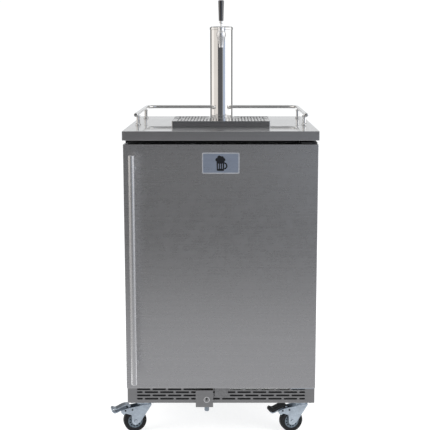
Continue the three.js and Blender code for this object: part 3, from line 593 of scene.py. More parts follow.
def fork_mesh(braked):
    outline = cheek_outline(braked)
    cheeks = [
        cut_sheet([outline], low, high, ACROSS, 0.6, 3)
        for low, high in ((-CHEEK_OUT, -CHEEK_IN), (CHEEK_IN, CHEEK_OUT))
    ]
    bend = arc(CHEEK_OUT - 5, FORK_TOP - 5, 5, 0, 90, 5)
    inner_bend = arc(CHEEK_OUT - 5, FORK_TOP - 5, 2.5, 90, 0, 5)
    half = [(CHEEK_OUT, 87)] + bend
    inside = inner_bend + [(CHEEK_IN, 87)]
    bridge = half + [(-x, z) for x, z in half[::-1]] + [(-x, z) for x, z in inside[::-1]] + inside
    bridge_mesh = cut_sheet([bridge], -24, 10, Matrix.Rotation(math.radians(90), 4, "Z") @ FRONTAL, 0.4, 2)
    crown = turned(rounded_profile([(0, 94), (23, 94), (22, 95.7), (0, 95.7)], 0.8), 48)
    king_pin = turned(rounded_profile([(0, 86), (6, 86), (8, 88), (9, 92.5), (0, 92.5)], 1.0), 32)
    bosses = []
    for side in (-1, 1):
        base = CHEEK_OUT * side
        outward = Matrix.Rotation(math.radians(-90 * side), 4, "X")
        head = [(0, -0.4), (6.2, -0.4), (6.2, 1.5), (5.2, 2.3), (4.4, 2.3), (3.8, 1.7), (0, 1.7)]
        bosses.append(turned(head, 32, shift(TRAIL, base, WHEEL_R) @ outward))
    axle = turned([(0, -17), (4, -17), (4, 17), (0, 17)], 24, along_y(TRAIL, 0, WHEEL_R))
    return merged(*cheeks, bridge_mesh, crown, king_pin, axle, *bosses)


def rivets_mesh():
    """The dished rivets on which the brake's spring and stop hang; their heads are black as painted shade,
    for the dark of their dimples.
    """
    heads = []
    for side in (-1, 1):
        outward = Matrix.Rotation(math.radians(-90 * side), 4, "X")
        for u, z in ((63.2, 77.2), (40, 77.8)):
            dish = [(0, -0.4), (3, -0.4), (3, 0.5), (2.5, 1.0), (1.9, 0.6), (0, 0.4)]
            heads.append(turned(dish, 24, shift(u, CHEEK_OUT * side, z) @ outward))
    return merged(*heads)


def plate_mesh():
    corners = filleted([(-44, -32), (44, -32), (44, 32), (-44, 32)], 6, 5)
    slots = [oblong(x, y, 12, 8) for x in (-34, 34) for y in (-23, 23)]
    plate = cut_sheet([corners, *slots], 105, 107.7, LEVEL, 0.5, 2)
    race = turned(rounded_profile(
        [
            (0, 96.2), (23, 96.2), (27, 98.4), (27, 101.2), (25.6, 101.8), (26.6, 102.4), (24, 105.2),
            (0, 105.2),
        ],
        [0.6, 1.2, 0.8, 0.3, 0.4, 1.0],
    ), 64)
    screws = []
    for x in (-34, 34):
        for y in (-23, 23):
            washer = turned(rounded_profile([(0, 104.1), (6.6, 104.1), (6.6, 105.1), (0, 105.1)], 0.3), 28)
            head = cut_sheet([filleted(hexagon(8), 0.7, 2)], 101, 104.2, LEVEL, 0.6, 2)
            screws += [moved(washer, shift(x, y, 0)), moved(head, shift(x, y, 0))]
    return merged(plate, race, *screws)


def hub_mesh():
    holes = [
        [(18.2 * math.cos(a) + x, 18.2 * math.sin(a) + y) for x, y in arc(0, 0, 2.9, 0, 330, 11)]
        for a in (math.radians(30 * i + 15) for i in range(12))
    ]
    web = cut_sheet([arc(0, 0, 22.8, 0, 354, 59), *holes], -9.6, 9.6, LEVEL, 0.3, 2)
    rim = turned([
        (24.4, -9.8), (24.4, 9.8), (24, 10.4), (23, 10.4), (22.5, 9.8), (22.5, -9.8), (23, -10.4),
        (24, -10.4), (24.4, -9.8),
    ], 72)
    nave = turned([
        (4.35, -12.6), (8.4, -12.6), (9.2, -11.8), (9.8, -9), (9.8, 9), (9.2, 11.8), (8.4, 12.6),
        (4.35, 12.6), (4.35, -12.6),
    ], 48)
    return merged(web, rim, nave)


def hub_shade_mesh():
    """A dark ring between the hub's two webs: painted shade for the hollow seen through their holes."""
    return turned([(14, -6.5), (22, -6.5), (22, 6.5), (14, 6.5), (14, -6.5)], 48)


def tyre_mesh():
    tread = [(24.7, -12)] + [
        (34.0 + 3.5 * math.cos(math.radians(a)), side * (8.5 + 3.5 * math.sin(math.radians(a))))
        for side, angles in ((-1, (80, 60, 40, 20, 5)), (1, (5, 20, 40, 60, 80)))
        for a in angles
    ] + [(24.7, 12)]
    wall_lines = [(28.6, 12), (28.2, 11.5), (27.8, 12)]
    near = [(r, -z) for r, z in wall_lines[::-1]]
    profile = [tread[0], *near, *tread[1:-1], *wall_lines, tread[-1], tread[0]]
    return turned(profile, 96)


def pedal_line():
    return smooth_path(
        [(46.5, 89.6), (52, 94), (60, 95), (70, 92.6), (80, 88.6), (90, 84.4), (97, 84.8), (102.5, 87.2),
         (105.5, 84.3), (104.6, 77.5), (98.5, 72.4), (90, 73.1), (80, 77.8), (70, 82), (60, 84.8)], 4,
    )


def pedal_mesh():
    strip = cut_sheet([strip_outline(pedal_line(), 2.3)], -12, 12, ACROSS, 0.7, 3)
    rib = slab((60, -3.4, -0.6), (88, 3.4, 1.0), 0.7, 3)
    rib.transform(shift(74, 0, 89.4) @ Matrix.Rotation(math.radians(15.4), 4, "Y") @ shift(-74, 0, 0))
    pin = turned(rounded_profile([(0, -12.5), (3, -12.5), (3, 12.5), (0, 12.5)], 0.6), 24, along_y(50, 0, 88))
    return merged(strip, rib, pin)


def pedal_shade_mesh():
    """A dark rubber sleeve over and into the right pedal: painted shade for its open channel, which lies in
    shadow.
    """
    over = [point for point in pedal_line() if point[0] > 53 and point[1] > 79]
    over = over[: len(over) - sum(1 for point in over if point[0] < 83 and point[1] < 84.4)]
    lifted = []
    for before, point, after in zip(over, over[1:], over[2:]):
        run = Vector((after[0] - before[0], after[1] - before[1])).normalized()
        lifted.append((point[0] - run.y * 1.7, point[1] + run.x * 1.7))
    sleeve = cut_sheet([strip_outline(lifted, 1.3)], -12.3, 12.3, ACROSS, 0.5, 2)
    cheeks = [
        (46, 92), (51, 95.6), (60, 96.8), (70, 94.4), (80, 90.4), (90, 86.2), (97, 86.6), (102.6, 88.8),
        (106.6, 85.2), (105.4, 79), (97.8, 74.6), (90.5, 75.2), (80.5, 79.9), (70.5, 84), (60, 86.6),
        (50, 87),
    ]
    return merged(sleeve, cut_sheet([cheeks], -12.3, 12.3, ACROSS, 0.5, 2))


def axle_turn(place):
    return place @ shift(TRAIL, 0, WHEEL_R) @ Matrix.Rotation(math.radians(90), 4, "X")


joint_places = {joint["name"]: joint.get("pos_m") for joint in frame["joints"]}
caster_yaw = math.radians(197)
for row in ("front", "rear"):
    for side in ("left", "right"):
        caster = f"{row}_{side}"
        axis = joint_places[f"{caster}_swivel_turn"]
        standing = Matrix.Translation((axis[0], axis[1], 0))
        trailing = standing @ Matrix.Rotation(caster_yaw, 4, "Z")
        braked = row == "front"
        take_mesh(
            f"{caster}_top_plate", moved(plate_mesh(), standing), zinc_plate, "cabinet", "zinc",
            f"{caster}_caster_plate",
        )
        take_mesh(
            f"{caster}_fork", moved(fork_mesh(braked), trailing), zinc_plate, f"{caster}_swivel", "zinc",
            f"{caster}_caster_fork",
        )
        take_mesh(
            f"{caster}_hub", moved(hub_mesh(), axle_turn(trailing)), hub_plastic, f"{caster}_wheel",
            "hub_plastic", f"{caster}_wheel_hub",
        )
        # A ring of painted shade inside the hub, dark through the web's holes.
        take_mesh(
            f"{caster}_hub_painted_shade", moved(hub_shade_mesh(), axle_turn(trailing)), painted_shade_black,
            f"{caster}_wheel",
            "hub_plastic",
        )
        take_mesh(
            f"{caster}_tyre", moved(tyre_mesh(), axle_turn(trailing)), tyre_rubber, f"{caster}_wheel",
            "tyre_rubber", f"{caster}_wheel_tyre",
        )
        if braked:
            # The rivet heads take the black rubber as painted shade.
            take_mesh(
                f"{caster}_rivets", moved(rivets_mesh(), trailing), tyre_rubber, f"{caster}_swivel", "zinc"
            )
            take_mesh(
                f"{caster}_pedal", moved(pedal_mesh(), trailing), zinc_plate, f"{caster}_pedal", "zinc",
                f"{caster}_brake_pedal",
            )
        # The right pedal alone gets a dark sleeve, painted shade for its shadowed channel.
        if caster == "front_right":
            take_mesh(
                "front_right_pedal_shade", moved(pedal_shade_mesh(), trailing), tyre_rubber, "front_right_pedal",
                "zinc"
            )

# ---- Base pan. Galvanised sheet with pressed ribs, spot-welded into the foot of the case;
# the casters bolt up into it and the compressor stands on it.
HOUSE = shift(30, -300, 0)  # sizes from here on run from the middle of the worktop's front edge
galvanised_sheet = zinc_finish(
    "galvanised_sheet", 70.0, (0.50, 0.52, 0.54), (0.63, 0.65, 0.66), (0.74, 0.75, 0.76), (0.38, 0.55)
)


def build(name, meshes, material, body, slot, *nodes, place=HOUSE):
    """Joins meshes into one piece and lays it from the worktop's front edge."""
    return take_mesh(name, moved(merged(*meshes), place), material, body, slot, *nodes)


def rectangle(x0, x1, y0, y1, radius=0.0, steps=4):
    return filleted([(x0, y0), (x1, y0), (x1, y1), (x0, y1)], radius, steps)


pan_sheet = cut_sheet([rectangle(-297.7, 297.7, 60.3, 637.7, 6)], 108, 110, LEVEL, 0.5)
pan_ribs = [slab((-190, y - 9, 106.4), (190, y + 9, 108.4), 0.9, 3) for y in (160, 300, 440)]
build("base_pan_sheet", [pan_sheet, *pan_ribs], galvanised_sheet, "cabinet", "galvanised", "base_pan")

# ---- Outer case. Stainless sheet, brushed along its length, folded into a wrapper with a
# flange round the door's opening; the machine space behind it stays open.

# Brushed grain: fine scratches and broader streaks, drawn out along one direction.
brushed_grain, group_in, group_out = shader_group(
    "brushed_grain",
    [
        ("Stretch", "NodeSocketVector", (10.0, 10.0, 1400.0)),
        ("Streak Stretch", "NodeSocketVector", (1.5, 1.5, 160.0)),
    ],
    [("Scratches", "NodeSocketFloat"), ("Streaks", "NodeSocketFloat")],
)
group_place = brushed_grain.nodes.new("ShaderNodeTexCoord")
for label, detail, output in (("Stretch", 3.0, "Scratches"), ("Streak Stretch", 2.0, "Streaks")):
    drawn_out = brushed_grain.nodes.new("ShaderNodeVectorMath")
    drawn_out.operation = "MULTIPLY"
    brushed_grain.links.new(group_place.outputs["Object"], drawn_out.inputs[0])
    brushed_grain.links.new(group_in.outputs[label], drawn_out.inputs[1])
    brushed_grain.links.new(
        noise_in(brushed_grain, drawn_out.outputs["Vector"], 1.0, detail, 0.6), group_out.inputs[output]
    )


def brushed_finish(name, dark, light, roughness, anisotropy, along, stretch, streaks, depth=0.00004):
    """Brushed steel whose scratches run along one direction."""
    material, tree, shader = new_material(name)
    grain = place_group(tree, brushed_grain)
    grain.inputs["Stretch"].default_value = stretch
    grain.inputs["Streak Stretch"].default_value = streaks
    marks = place_group(tree, handling, Patch_Size=3.0)
    edges = place_group(tree, edge_wear, Amount=0.35)
    scratch = range_in(tree, grain.outputs["Scratches"], 0.3, 0.7, 0.0, 1.0)
    streak = range_in(tree, grain.outputs["Streaks"], 0.3, 0.7, 0.0, 1.0)
    mixed = math_in(
        tree, "ADD", math_in(tree, "MULTIPLY", scratch, 0.45), math_in(tree, "MULTIPLY", streak, 0.55)
    )
    tone = blend_in(tree, mixed, dark, light)
    tree.links.new(
        blend_in(tree, edges.outputs["Mask"], tone, (0.78, 0.78, 0.79)), shader.inputs["Base Color"]
    )
    low, high = roughness
    gloss = math_in(tree, "ADD", range_in(tree, scratch, 0.0, 1.0, low, high), math_in(
        tree, "MULTIPLY", marks.outputs["Smears"], 0.05
    ))
    tree.links.new(gloss, shader.inputs["Roughness"])
    shader.inputs["Metallic"].default_value = 1.0
    shader.inputs["Anisotropic"].default_value = anisotropy
    direction = tree.nodes.new("ShaderNodeVectorTransform")
    direction.vector_type = "VECTOR"
    direction.convert_from = "OBJECT"
    direction.convert_to = "WORLD"
    direction.inputs["Vector"].default_value = along
    tree.links.new(direction.outputs["Vector"], shader.inputs["Tangent"])
    bump_from(tree, shader, grain.outputs["Scratches"], 0.5, depth)
    return material


brushed_case = brushed_finish(
    "brushed_case", (0.50, 0.50, 0.51), (0.60, 0.60, 0.61), (0.30, 0.40), 0.5, (0.0, 0.0, 1.0),
    (1100.0, 1100.0, 10.0), (130.0, 130.0, 1.4),
)


def softened(name, node, material, body, slot, corner=0.0, rim=0.4, steps=3):
    """A folded or moulded piece whose CAD shape is right: its outermost edges are rounded to
    one radius, its other sharp edges to a smaller one, and it stands for its CAD node."""
    source = frame["nodes"][node]
    bm = bmesh.new()
    bm.from_mesh(source.data)
    bmesh.ops.transform(bm, matrix=source.matrix_world, verts=bm.verts)
    bmesh.ops.remove_doubles(bm, verts=bm.verts, dist=1e-6)
    bmesh.ops.dissolve_limit(bm, angle_limit=math.radians(0.8), verts=bm.verts, edges=bm.edges)
    lows = [min(v.co[axis] for v in bm.verts) for axis in range(3)]
    highs = [max(v.co[axis] for v in bm.verts) for axis in range(3)]

    def outermost(edge):
        limits = 0
        for axis in range(3):
            a, b = (vert.co[axis] for vert in edge.verts)
            on_low = abs(a - lows[axis]) < 1e-5 and abs(b - lows[axis]) < 1e-5
            on_high = abs(a - highs[axis]) < 1e-5 and abs(b - highs[axis]) < 1e-5
            limits += on_low or on_high
        return limits >= 2

    def sharp(edge):
        return edge.is_manifold and edge.calc_face_angle(0.0) > math.radians(30)

    for width, chosen in ((corner, outermost), (rim, sharp)):
        if width:
            bmesh.ops.bevel(
                bm, geom=[e for e in bm.edges if sharp(e) and chosen(e)], offset=width * MM, segments=steps,
                profile=0.5, affect="EDGES", clamp_overlap=True,
            )
    return take_mesh(name, mesh_of(bm, name), material, body, slot, node)


softened("case_wrapper", "cabinet_shell", brushed_case, "cabinet", "brushed_steel", 0.9, 0.3)

# ---- Insulation. Rigid polyurethane foam, poured between the case and the liner, pale
# yellow with a skin of small cells; it only shows where the machine space is open.
foam_skin, foam_tree, foam_shader = new_material("foam_skin")
foam_place = foam_tree.nodes.new("ShaderNodeTexCoord")
foam_cells = foam_tree.nodes.new("ShaderNodeTexVoronoi")
foam_cells.inputs["Scale"].default_value = 420.0
foam_tree.links.new(foam_place.outputs["Object"], foam_cells.inputs["Vector"])
foam_marks = place_group(foam_tree, handling, Patch_Size=14.0)
foam_tone = blend_in(foam_tree, foam_marks.outputs["Patches"], (0.62, 0.49, 0.26), (0.74, 0.62, 0.38))
foam_tree.links.new(
    blend_in(foam_tree, foam_marks.outputs["Smears"], foam_tone, (0.52, 0.39, 0.19)),
    foam_shader.inputs["Base Color"]
)
foam_shader.inputs["Roughness"].default_value = 0.9
bump_from(foam_tree, foam_shader, foam_cells.outputs["Distance"], 0.7, 0.0012)
frame["nodes"]["insulation_foam"].material_slots[0].material = foam_skin

# ---- Liner. White vacuum-formed plastic, with a step over the compressor and shelf ribs
# on both side walls, clipped into the case's flange.
white_moulding = plain_finish(
    "white_moulding", (0.72, 0.73, 0.73), (0.80, 0.81, 0.80), (0.86, 0.86, 0.86), (0.32, 0.46), 0.0, 1200.0,
    0.00015,
    0.2,
)
softened("liner_shell", "inner_liner", white_moulding, "cabinet", "white_plastic", 0.0, 0.8)
for rib_side in (-1, 1):
    ribs = [
        slab((rib_side * 258.4, 130, z), (rib_side * 262.2, 560, z + 9), 1.6)
        for z in (470, 600, 730)
    ]
    build(
        f"shelf_ribs_{'left' if rib_side < 0 else 'right'}", ribs, white_moulding, "cabinet",
        "white_plastic",
    )

# ---- Back of the machine space. A louvred galvanised cover on eight screws, the mains
# inlet with its three plated pins, and the compressor: a black-painted welded can.


def upright(loops, front, back, edge=0.3, steps=2):
    """Sheet that stands across the front, cut to outlines in X and Z."""
    return cut_sheet(loops, -back, -front, FRONTAL, edge, steps)


def screw_head(x, z, y, outward=-1, radius=3.6):
    """A pan-head screw with a cross recess, its face at y + outward * 1.6."""
    arm, half = radius * 0.62, radius * 0.15
    cross = [
        (arm, -half), (arm, half), (half, half), (half, arm), (-half, arm), (-half, half), (-arm, half),
        (-arm, -half), (-half, -half), (-half, -arm), (half, -arm), (half, -half),
    ]
    face = cut_sheet([arc(0, 0, radius, 0, 345, 23), cross], 0.5, 1.6, LEVEL, 0.4, 3)
    core = turned([(0, -0.4), (radius * 0.9, -0.4), (radius * 0.9, 0.7), (0, 0.7)], 20)
    turn = Matrix.Rotation(math.radians(90 if outward < 0 else -90), 4, "X")
    return moved(merged(face, core), shift(x, y, z) @ turn)


louvres = [oblong(x, 190 + row * 24, 90, 8, 5) for x in (-180, -60, 60) for row in range(8)]
cover_sheet = upright(
    [rectangle(-289.7, 289.7, 112, 395.7, 4), rectangle(208, 256, 148, 178, 1.5), *louvres], 638, 640, 0.4
)
hood_side = [
    (639.6, 4.6), (641, 4.4), (643.2, 2.6), (643.9, 0.6), (643.0, 0.6), (642.3, 2.1), (640.6, 3.5),
    (639.6, 3.6),
]
SIDEWAYS = Matrix(((0, 0, 1, 0), (1, 0, 0, 0), (0, 1, 0, 0), (0, 0, 0, 1)))
hoods = [
    moved(cut_sheet([hood_side], -44, 44, SIDEWAYS, 0.25), shift(x, 0, 190 + row * 24))
    for x in (-180, -60, 60) for row in range(8)
]
cover_screws = [screw_head(x, z, 640, 1) for x in (-278, -90, 90, 278) for z in (121, 386)]
build(
    "louvred_cover", [cover_sheet, *hoods, *cover_screws], galvanised_sheet, "cabinet", "galvanised",
    "rear_cover",
)

black_moulding = plain_finish(
    "black_moulding", (0.016, 0.016, 0.018), (0.026, 0.026, 0.028), (0.08, 0.08, 0.085), (0.36, 0.52), 0.0,
    1100.0,
    0.0002, 0.4,
)
softened("inlet_body", "power_inlet", black_moulding, "cabinet", "black_plastic", 1.0, 0.35)
inlet_pins = [slab((x - 1.15, 624, 160.8), (x + 1.15, 638.2, 165.2), 0.5) for x in (224, 232, 240)]
build("inlet_pins", inlet_pins, zinc_plate, "cabinet", "zinc")

compressor_paint = plain_finish(
    "compressor_paint", (0.012, 0.012, 0.013), (0.022, 0.022, 0.024), (0.09, 0.085, 0.08), (0.28, 0.42),
    0.0, 260.0,
    0.0004, 0.5,
)
can_profile = rounded_profile(
    [
        (0, 0), (50, 0), (60, 12), (60, 70), (61.6, 71), (61.6, 76), (60, 77), (60, 96), (57, 118),
        (40, 138), (0, 146),
    ],
    [10, 10, 0.6, 0.6, 0.6, 0.6, 20, 22, 22], 6,
)
can = turned(can_profile, 96, Matrix.Diagonal((1.45, 0.9, 1, 1)))
can.transform(shift(70, 574, 116))
foot = cut_sheet([rectangle(-30, 170, 520, 628, 14, 6)], 112.4, 116, LEVEL, 0.8)
bushes = [
    turned(rounded_profile([(0, 110.4), (9, 110.4), (9, 118), (6, 121), (0, 121)], 1.2), 32, shift(x, y, 0))
    for x in (-14, 154) for y in (534, 614)
]
terminal_box = slab((-30, 552, 165), (-12, 598, 212), 3.5, 4)
build(
    "compressor_can", [can, foot, terminal_box, *bushes], compressor_paint, "cabinet", "black_paint",
    "compressor",
)

copper_tube = plain_finish(
    "copper_tube", (0.60, 0.25, 0.13), (0.75, 0.36, 0.20), (0.85, 0.50, 0.34), (0.22, 0.38), 1.0, 600.0,
    0.0002, 0.2
)


def swept(path, radius, sides=24, dome=0.0):
    """A round bar or tube along a 3D line; dome rounds its ends over by that much."""
    points = [Vector(p) for p in path]
    runs = []
    for i in range(len(points)):
        run = points[min(i + 1, len(points) - 1)] - points[max(i - 1, 0)]
        runs.append(run.normalized())
    side_way = runs[0].orthogonal().normalized()
    sections = []
    for i, (point, run) in enumerate(zip(points, runs)):
        if i:
            side_way = (side_way - run * side_way.dot(run)).normalized()
        sections.append((point, run, side_way.copy(), radius))
    if dome:
        angles = (12, 35, 60, 80)
        first, last = sections[0], sections[-1]
        head = [
            (first[0] + first[1] * dome * (1 - math.sin(math.radians(90 - a))), first[1], first[2],
             radius * math.sin(math.radians(a)))
            for a in angles
        ]
        tail = [
            (last[0] - last[1] * dome * (1 - math.sin(math.radians(90 - a))), last[1], last[2],
             radius * math.sin(math.radians(a)))
            for a in angles[::-1]
        ]
        body_start = (first[0] + first[1] * dome, *first[1:])
        body_end = (last[0] - last[1] * dome, *last[1:])
        sections = head + [body_start] + sections[1:-1] + [body_end] + tail
    bm = bmesh.new()
    rings = []
    for point, run, across, size in sections:
        up = run.cross(across)
        rings.append([
            bm.verts.new((point + (across * math.cos(a) + up * math.sin(a)) * size) * MM)
            for a in (2 * math.pi * k / sides for k in range(sides))
        ])
    for lower, upper in zip(rings, rings[1:]):
        for k in range(sides):
            m = (k + 1) % sides
            bm.faces.new((lower[k], lower[m], upper[m], upper[k]))
    bm.faces.new(rings[0][::-1])
    bm.faces.new(rings[-1])
    return mesh_of(bm, "swept")


def bent(points, radius, steps=6):
    """A 3D line through corners, each rounded to that radius."""
    line = [Vector(points[0])]
    for before, here, after in zip(points, points[1:], points[2:]):
        here = Vector(here)
        back, on = Vector(before) - here, Vector(after) - here
        reach = min(radius, back.length * 0.49, on.length * 0.49)
        start, end = here + back.normalized() * reach, here + on.normalized() * reach
        for k in range(steps + 1):
            t = k / steps
            line.append(start * (1 - t) ** 2 + here * 2 * t * (1 - t) + end * t**2)
    line.append(Vector(points[-1]))
    return line


suction_line = swept(
    bent([(120, 560, 236), (136, 556, 300), (60, 556, 340), (-60, 556, 345), (-60, 556, 392)], 24), 4, 16
)
pressure_line = swept(
    bent([(20, 590, 238), (6, 594, 290), (-80, 596, 300), (-120, 596, 250), (-120, 596, 130)], 22), 3, 16
)
build("refrigerant_lines", [suction_line, pressure_line], copper_tube, "cabinet", "black_paint")

# ---- Condensate pan. White moulded tray on the underside of the foam, behind the right
# half of the grille, where the defrost water dries off.
softened("condensate_tray", "condensate_pan", white_moulding, "cabinet", "white_plastic", 1.0, 0.4)

# ---- Kick grille. One stainless sheet with four rows of punched slots and a return folded
# back at each side, screwed to the case's foot.
# The door's brushed steel in a darker tone: painted shade at the cabinet's foot.
shaded_foot_steel = brushed_finish(
    "shaded_foot_steel", (0.345, 0.345, 0.35), (0.385, 0.385, 0.39), (0.27, 0.33), 0.4, (1.0, 0.0, 0.0),
    (9.0, 1300.0, 1300.0), (1.2, 150.0, 150.0),
)
slot_loops = []
for row, z in enumerate((131, 142, 153, 163)):
    staggered = row % 2 == 0
    first = 18.7 + 6.2 - 272 if staggered else -272
    for i in range(10 if staggered else 11):
        slot_loops.append(oblong(first + i * 50 + 21.9, z, 44.8, 6.8, 6))
    if staggered:
        slot_loops += [oblong(-272 + 9.35, z, 19.7, 6.8, 6), oblong(272 - 9.35, z, 19.7, 6.8, 6)]
grille_face = upright([rectangle(-302, 302, 117, 166.5, 1.2), *slot_loops], 22, 24, 0.5)
grille_returns = [slab((s * 300, 22.6, 117), (s * 302, 57.7, 166.5), 0.5) for s in (-1, 1)]
build(
    "slotted_grille", [grille_face, *grille_returns], shaded_foot_steel, "cabinet", "brushed_steel",
    "kick_grille",
)

# Dark sheets behind the grille's slots: painted shade, so the slots read black.
slot_shade_sheet = merged(
    upright([rectangle(-298, 0, 118, 166, 1)], 25, 26, 0.3),
    upright([rectangle(0, 298, 118, 158.4, 1)], 25, 26, 0.3),
)
build("slot_shade_sheet", [slot_shade_sheet], painted_shade_black, "cabinet", "black_plastic")

# ---- Lock. A small folded housing welded to the grille, a chromed cylinder with a keyway
# and the cam on its tail, which turns behind the tab on the door.
polished_chrome, chrome_tree, chrome_shader = new_material("polished_chrome")
chrome_marks = place_group(chrome_tree, handling, Patch_Size=12.0)
chrome_tooth = place_group(chrome_tree, fine_grain, Scale=260.0)
chrome_tone = blend_in(
    chrome_tree, chrome_marks.outputs["Patches"], (0.78, 0.775, 0.765), (0.84, 0.835, 0.825)
)
chrome_tree.links.new(
    blend_in(chrome_tree, chrome_marks.outputs["Dust"], chrome_tone, (0.74, 0.74, 0.74)),
    chrome_shader.inputs["Base Color"],
)
chrome_tree.links.new(
    range_in(chrome_tree, chrome_marks.outputs["Smears"], 0.0, 1.0, 0.035, 0.10),
    chrome_shader.inputs["Roughness"]
)
chrome_shader.inputs["Metallic"].default_value = 1.0
bump_from(chrome_tree, chrome_shader, chrome_tooth.outputs["Height"], 0.08, 0.00004)

softened("lock_case", "lock_housing", shaded_foot_steel, "cabinet", "brushed_steel", 0.6, 0.3)
satin_face = brushed_finish(
    "satin_face", (0.36, 0.36, 0.365), (0.44, 0.44, 0.445), (0.34, 0.44), 0.2, (1.0, 0.0, 0.0),
    (30.0, 1100.0, 1100.0), (6.0, 140.0, 140.0),
)
satin_ring = brushed_finish(
    "satin_ring", (0.84, 0.84, 0.845), (0.92, 0.92, 0.925), (0.42, 0.52), 0.2, (1.0, 0.0, 0.0),
    (30.0, 1100.0, 1100.0), (6.0, 140.0, 140.0),
)
LOCK_FACE = along_y(-46, 7.6, 133.6)
keyway = [
    (-1.2, -3.0), (1.2, -3.0), (1.2, 0.8), (2.9, 1.6), (2.9, 5.2), (1.8, 6.5), (-1.8, 6.5), (-2.9, 5.2),
    (-2.9, 1.6), (-1.2, 0.8),
]
barrel_face = cut_sheet([arc(0, 0, 7.2, 0, 352, 44), keyway], 1.5, 3.4, LEVEL, 0.25)
build("lock_face", [barrel_face], satin_face, "lock", "bright_steel", place=HOUSE @ LOCK_FACE)
# A dark disc behind the keyway: painted shade in its recess.
keyway_shade_disc = turned([(0, 1.25), (7.2, 1.25), (7.2, 1.48), (0, 1.48)], 32, HOUSE @ LOCK_FACE)
take_mesh("lock_keyway_shade", keyway_shade_disc, painted_shade_black, "lock", "bright_steel")
barrel_rim = turned(
    [(6.9, -1), (10, -1), (10, 3.3), (9.4, 4.1), (7.6, 4.1), (7.0, 3.1), (6.9, -1)], 64, LOCK_FACE
)
barrel_tail = turned(
    [(0, -3.4), (4, -3.4), (4, -0.9), (9.8, -0.9), (9.8, 1.3), (0, 1.3)], 40, along_y(-46, 8.6, 133.6)
)
build("lock_cylinder", [barrel_rim, barrel_tail], satin_ring, "lock", "bright_steel", "lock_plug")
cam_outline = filleted(
    arc(-46, 133.6, 7, 0, 180, 18) + [(-53, 96.6), (-50, 93.6), (-42, 93.6), (-39, 96.6)],
    [0] * 19 + [1.5] * 4, 3,
)
cam_blade = upright([cam_outline, arc(-46, 133.6, 4.3, 0, 340, 17)], 8.8, 11.5, 0.5)
build("lock_cam_blade", [cam_blade], zinc_plate, "lock", "zinc", "lock_cam")

# ---- Hinges. Plates with an upright pin: the upper one is screwed on top of
# the case, black with black screws as painted shade in the dark gap under the worktop;
# the lower one, zinc-plated, is folded down over the case's front.
softened("upper_hinge_plate", "upper_hinge", black_moulding, "cabinet", "zinc", 0.0, 0.5)
softened("lower_hinge_plate", "lower_hinge", zinc_plate, "cabinet", "zinc", 0.0, 0.5)
hinge_screws = [
    moved(screw_head(0, 0, 0, -1, 4.2), shift(x, y, 964.3) @ Matrix.Rotation(math.radians(-90), 4, "X"))
    for x, y in ((265, 128), (286, 128), (275, 100))
]
build("hinge_screws", hinge_screws, black_moulding, "cabinet", "zinc")

# ---- Cold-air unit. A white cover over the evaporator on the back wall, with return slots,
# a wire guard over the fan's hole and the fan on its motor hub.
softened("air_cover", "evaporator_cover", white_moulding, "cabinet", "white_plastic", 2.0, 0.5)


def hoop(radius, wire, x, y, z, steps=64):
    profile = [
        (radius + wire * math.cos(a), wire * math.sin(a))
        for a in (2 * math.pi * k / 10 for k in range(10))
    ]
    return turned([*profile, profile[0]], steps, along_y(x, y, z))


guard_hoops = [hoop(radius, 0.9, 0, 554.6, 760) for radius in (14, 24, 34, 44, 53)]
guard_spokes = [
    swept(
        [
            (13 * math.cos(a), 553.2, 760 + 13 * math.sin(a)),
            (54 * math.cos(a), 553.2, 760 + 54 * math.sin(a)),
        ],
        0.9, 10,
    )
    for a in (math.radians(45 + 90 * k) for k in range(4))
]
build("fan_guard", [*guard_hoops, *guard_spokes], zinc_plate, "cabinet", "zinc")


def fan_blade(turn):
    edge_line = filleted([(13, -5), (30, -11), (44, -12), (46, 2), (42, 11), (28, 8), (13, 5)], 4, 4)
    blade = cut_sheet([edge_line], -0.7, 0.7, LEVEL, 0.3)
    for vert in blade.vertices:
        reach = vert.co.x / MM
        pitch = math.radians(42 - 0.45 * reach)
        y, z = vert.co.y, vert.co.z
        vert.co.y = y * math.cos(pitch) - z * math.sin(pitch)
        vert.co.z = y * math.sin(pitch) + z * math.cos(pitch)
    return moved(blade, Matrix.Rotation(turn, 4, "Z"))


motor_hub = turned(rounded_profile([(0, -9), (15, -9), (15, 9), (0, 9)], 3), 48)
blades = [fan_blade(2 * math.pi * k / 5) for k in range(5)]
rotor = moved(merged(motor_hub, *blades), along_y(0, 575, 760))
build("fan_wheel", [rotor], black_moulding, "fan", "black_plastic", "fan_rotor")

# ---- Thermostat. A white box on the right wall with a printed scale of plain ticks, and a
# black dial with a finger grip and a white pointer.
softened("thermostat_case", "thermostat_box", white_moulding, "cabinet", "white_plastic", 3.0, 0.8)
FROM_LEFT = shift(235.4, 200, 860) @ Matrix.Rotation(math.radians(-90), 4, "Y")
ticks = [
    moved(
        slab((19, -0.6, -0.1), (22 + (k % 2) * 2, 0.6, 0.15), 0),
        Matrix.Rotation(math.radians(-45 + 45 * k), 4, "Z"),
    )
    for k in range(7)
]
build("dial_scale", ticks, black_moulding, "cabinet", "black_plastic", place=HOUSE @ FROM_LEFT)
dial_cap = turned(rounded_profile([(0, 0), (17, 0), (16.6, 3), (15.6, 10), (0, 10)], [0.4, 0.8, 1.5]), 60)
dial_grip = slab((-15, -2.6, 8), (15, 2.6, 14), 1.2, 4)
build(
    "dial_knob", [dial_cap, dial_grip], black_moulding, "dial", "black_plastic", "thermostat_dial",
    place=HOUSE @ FROM_LEFT,
)
pointer = slab((7, -0.7, 13.6), (14.2, 0.7, 14.1), 0.1)
build("dial_pointer", [pointer], white_moulding, "dial", "white_plastic", place=HOUSE @ FROM_LEFT)

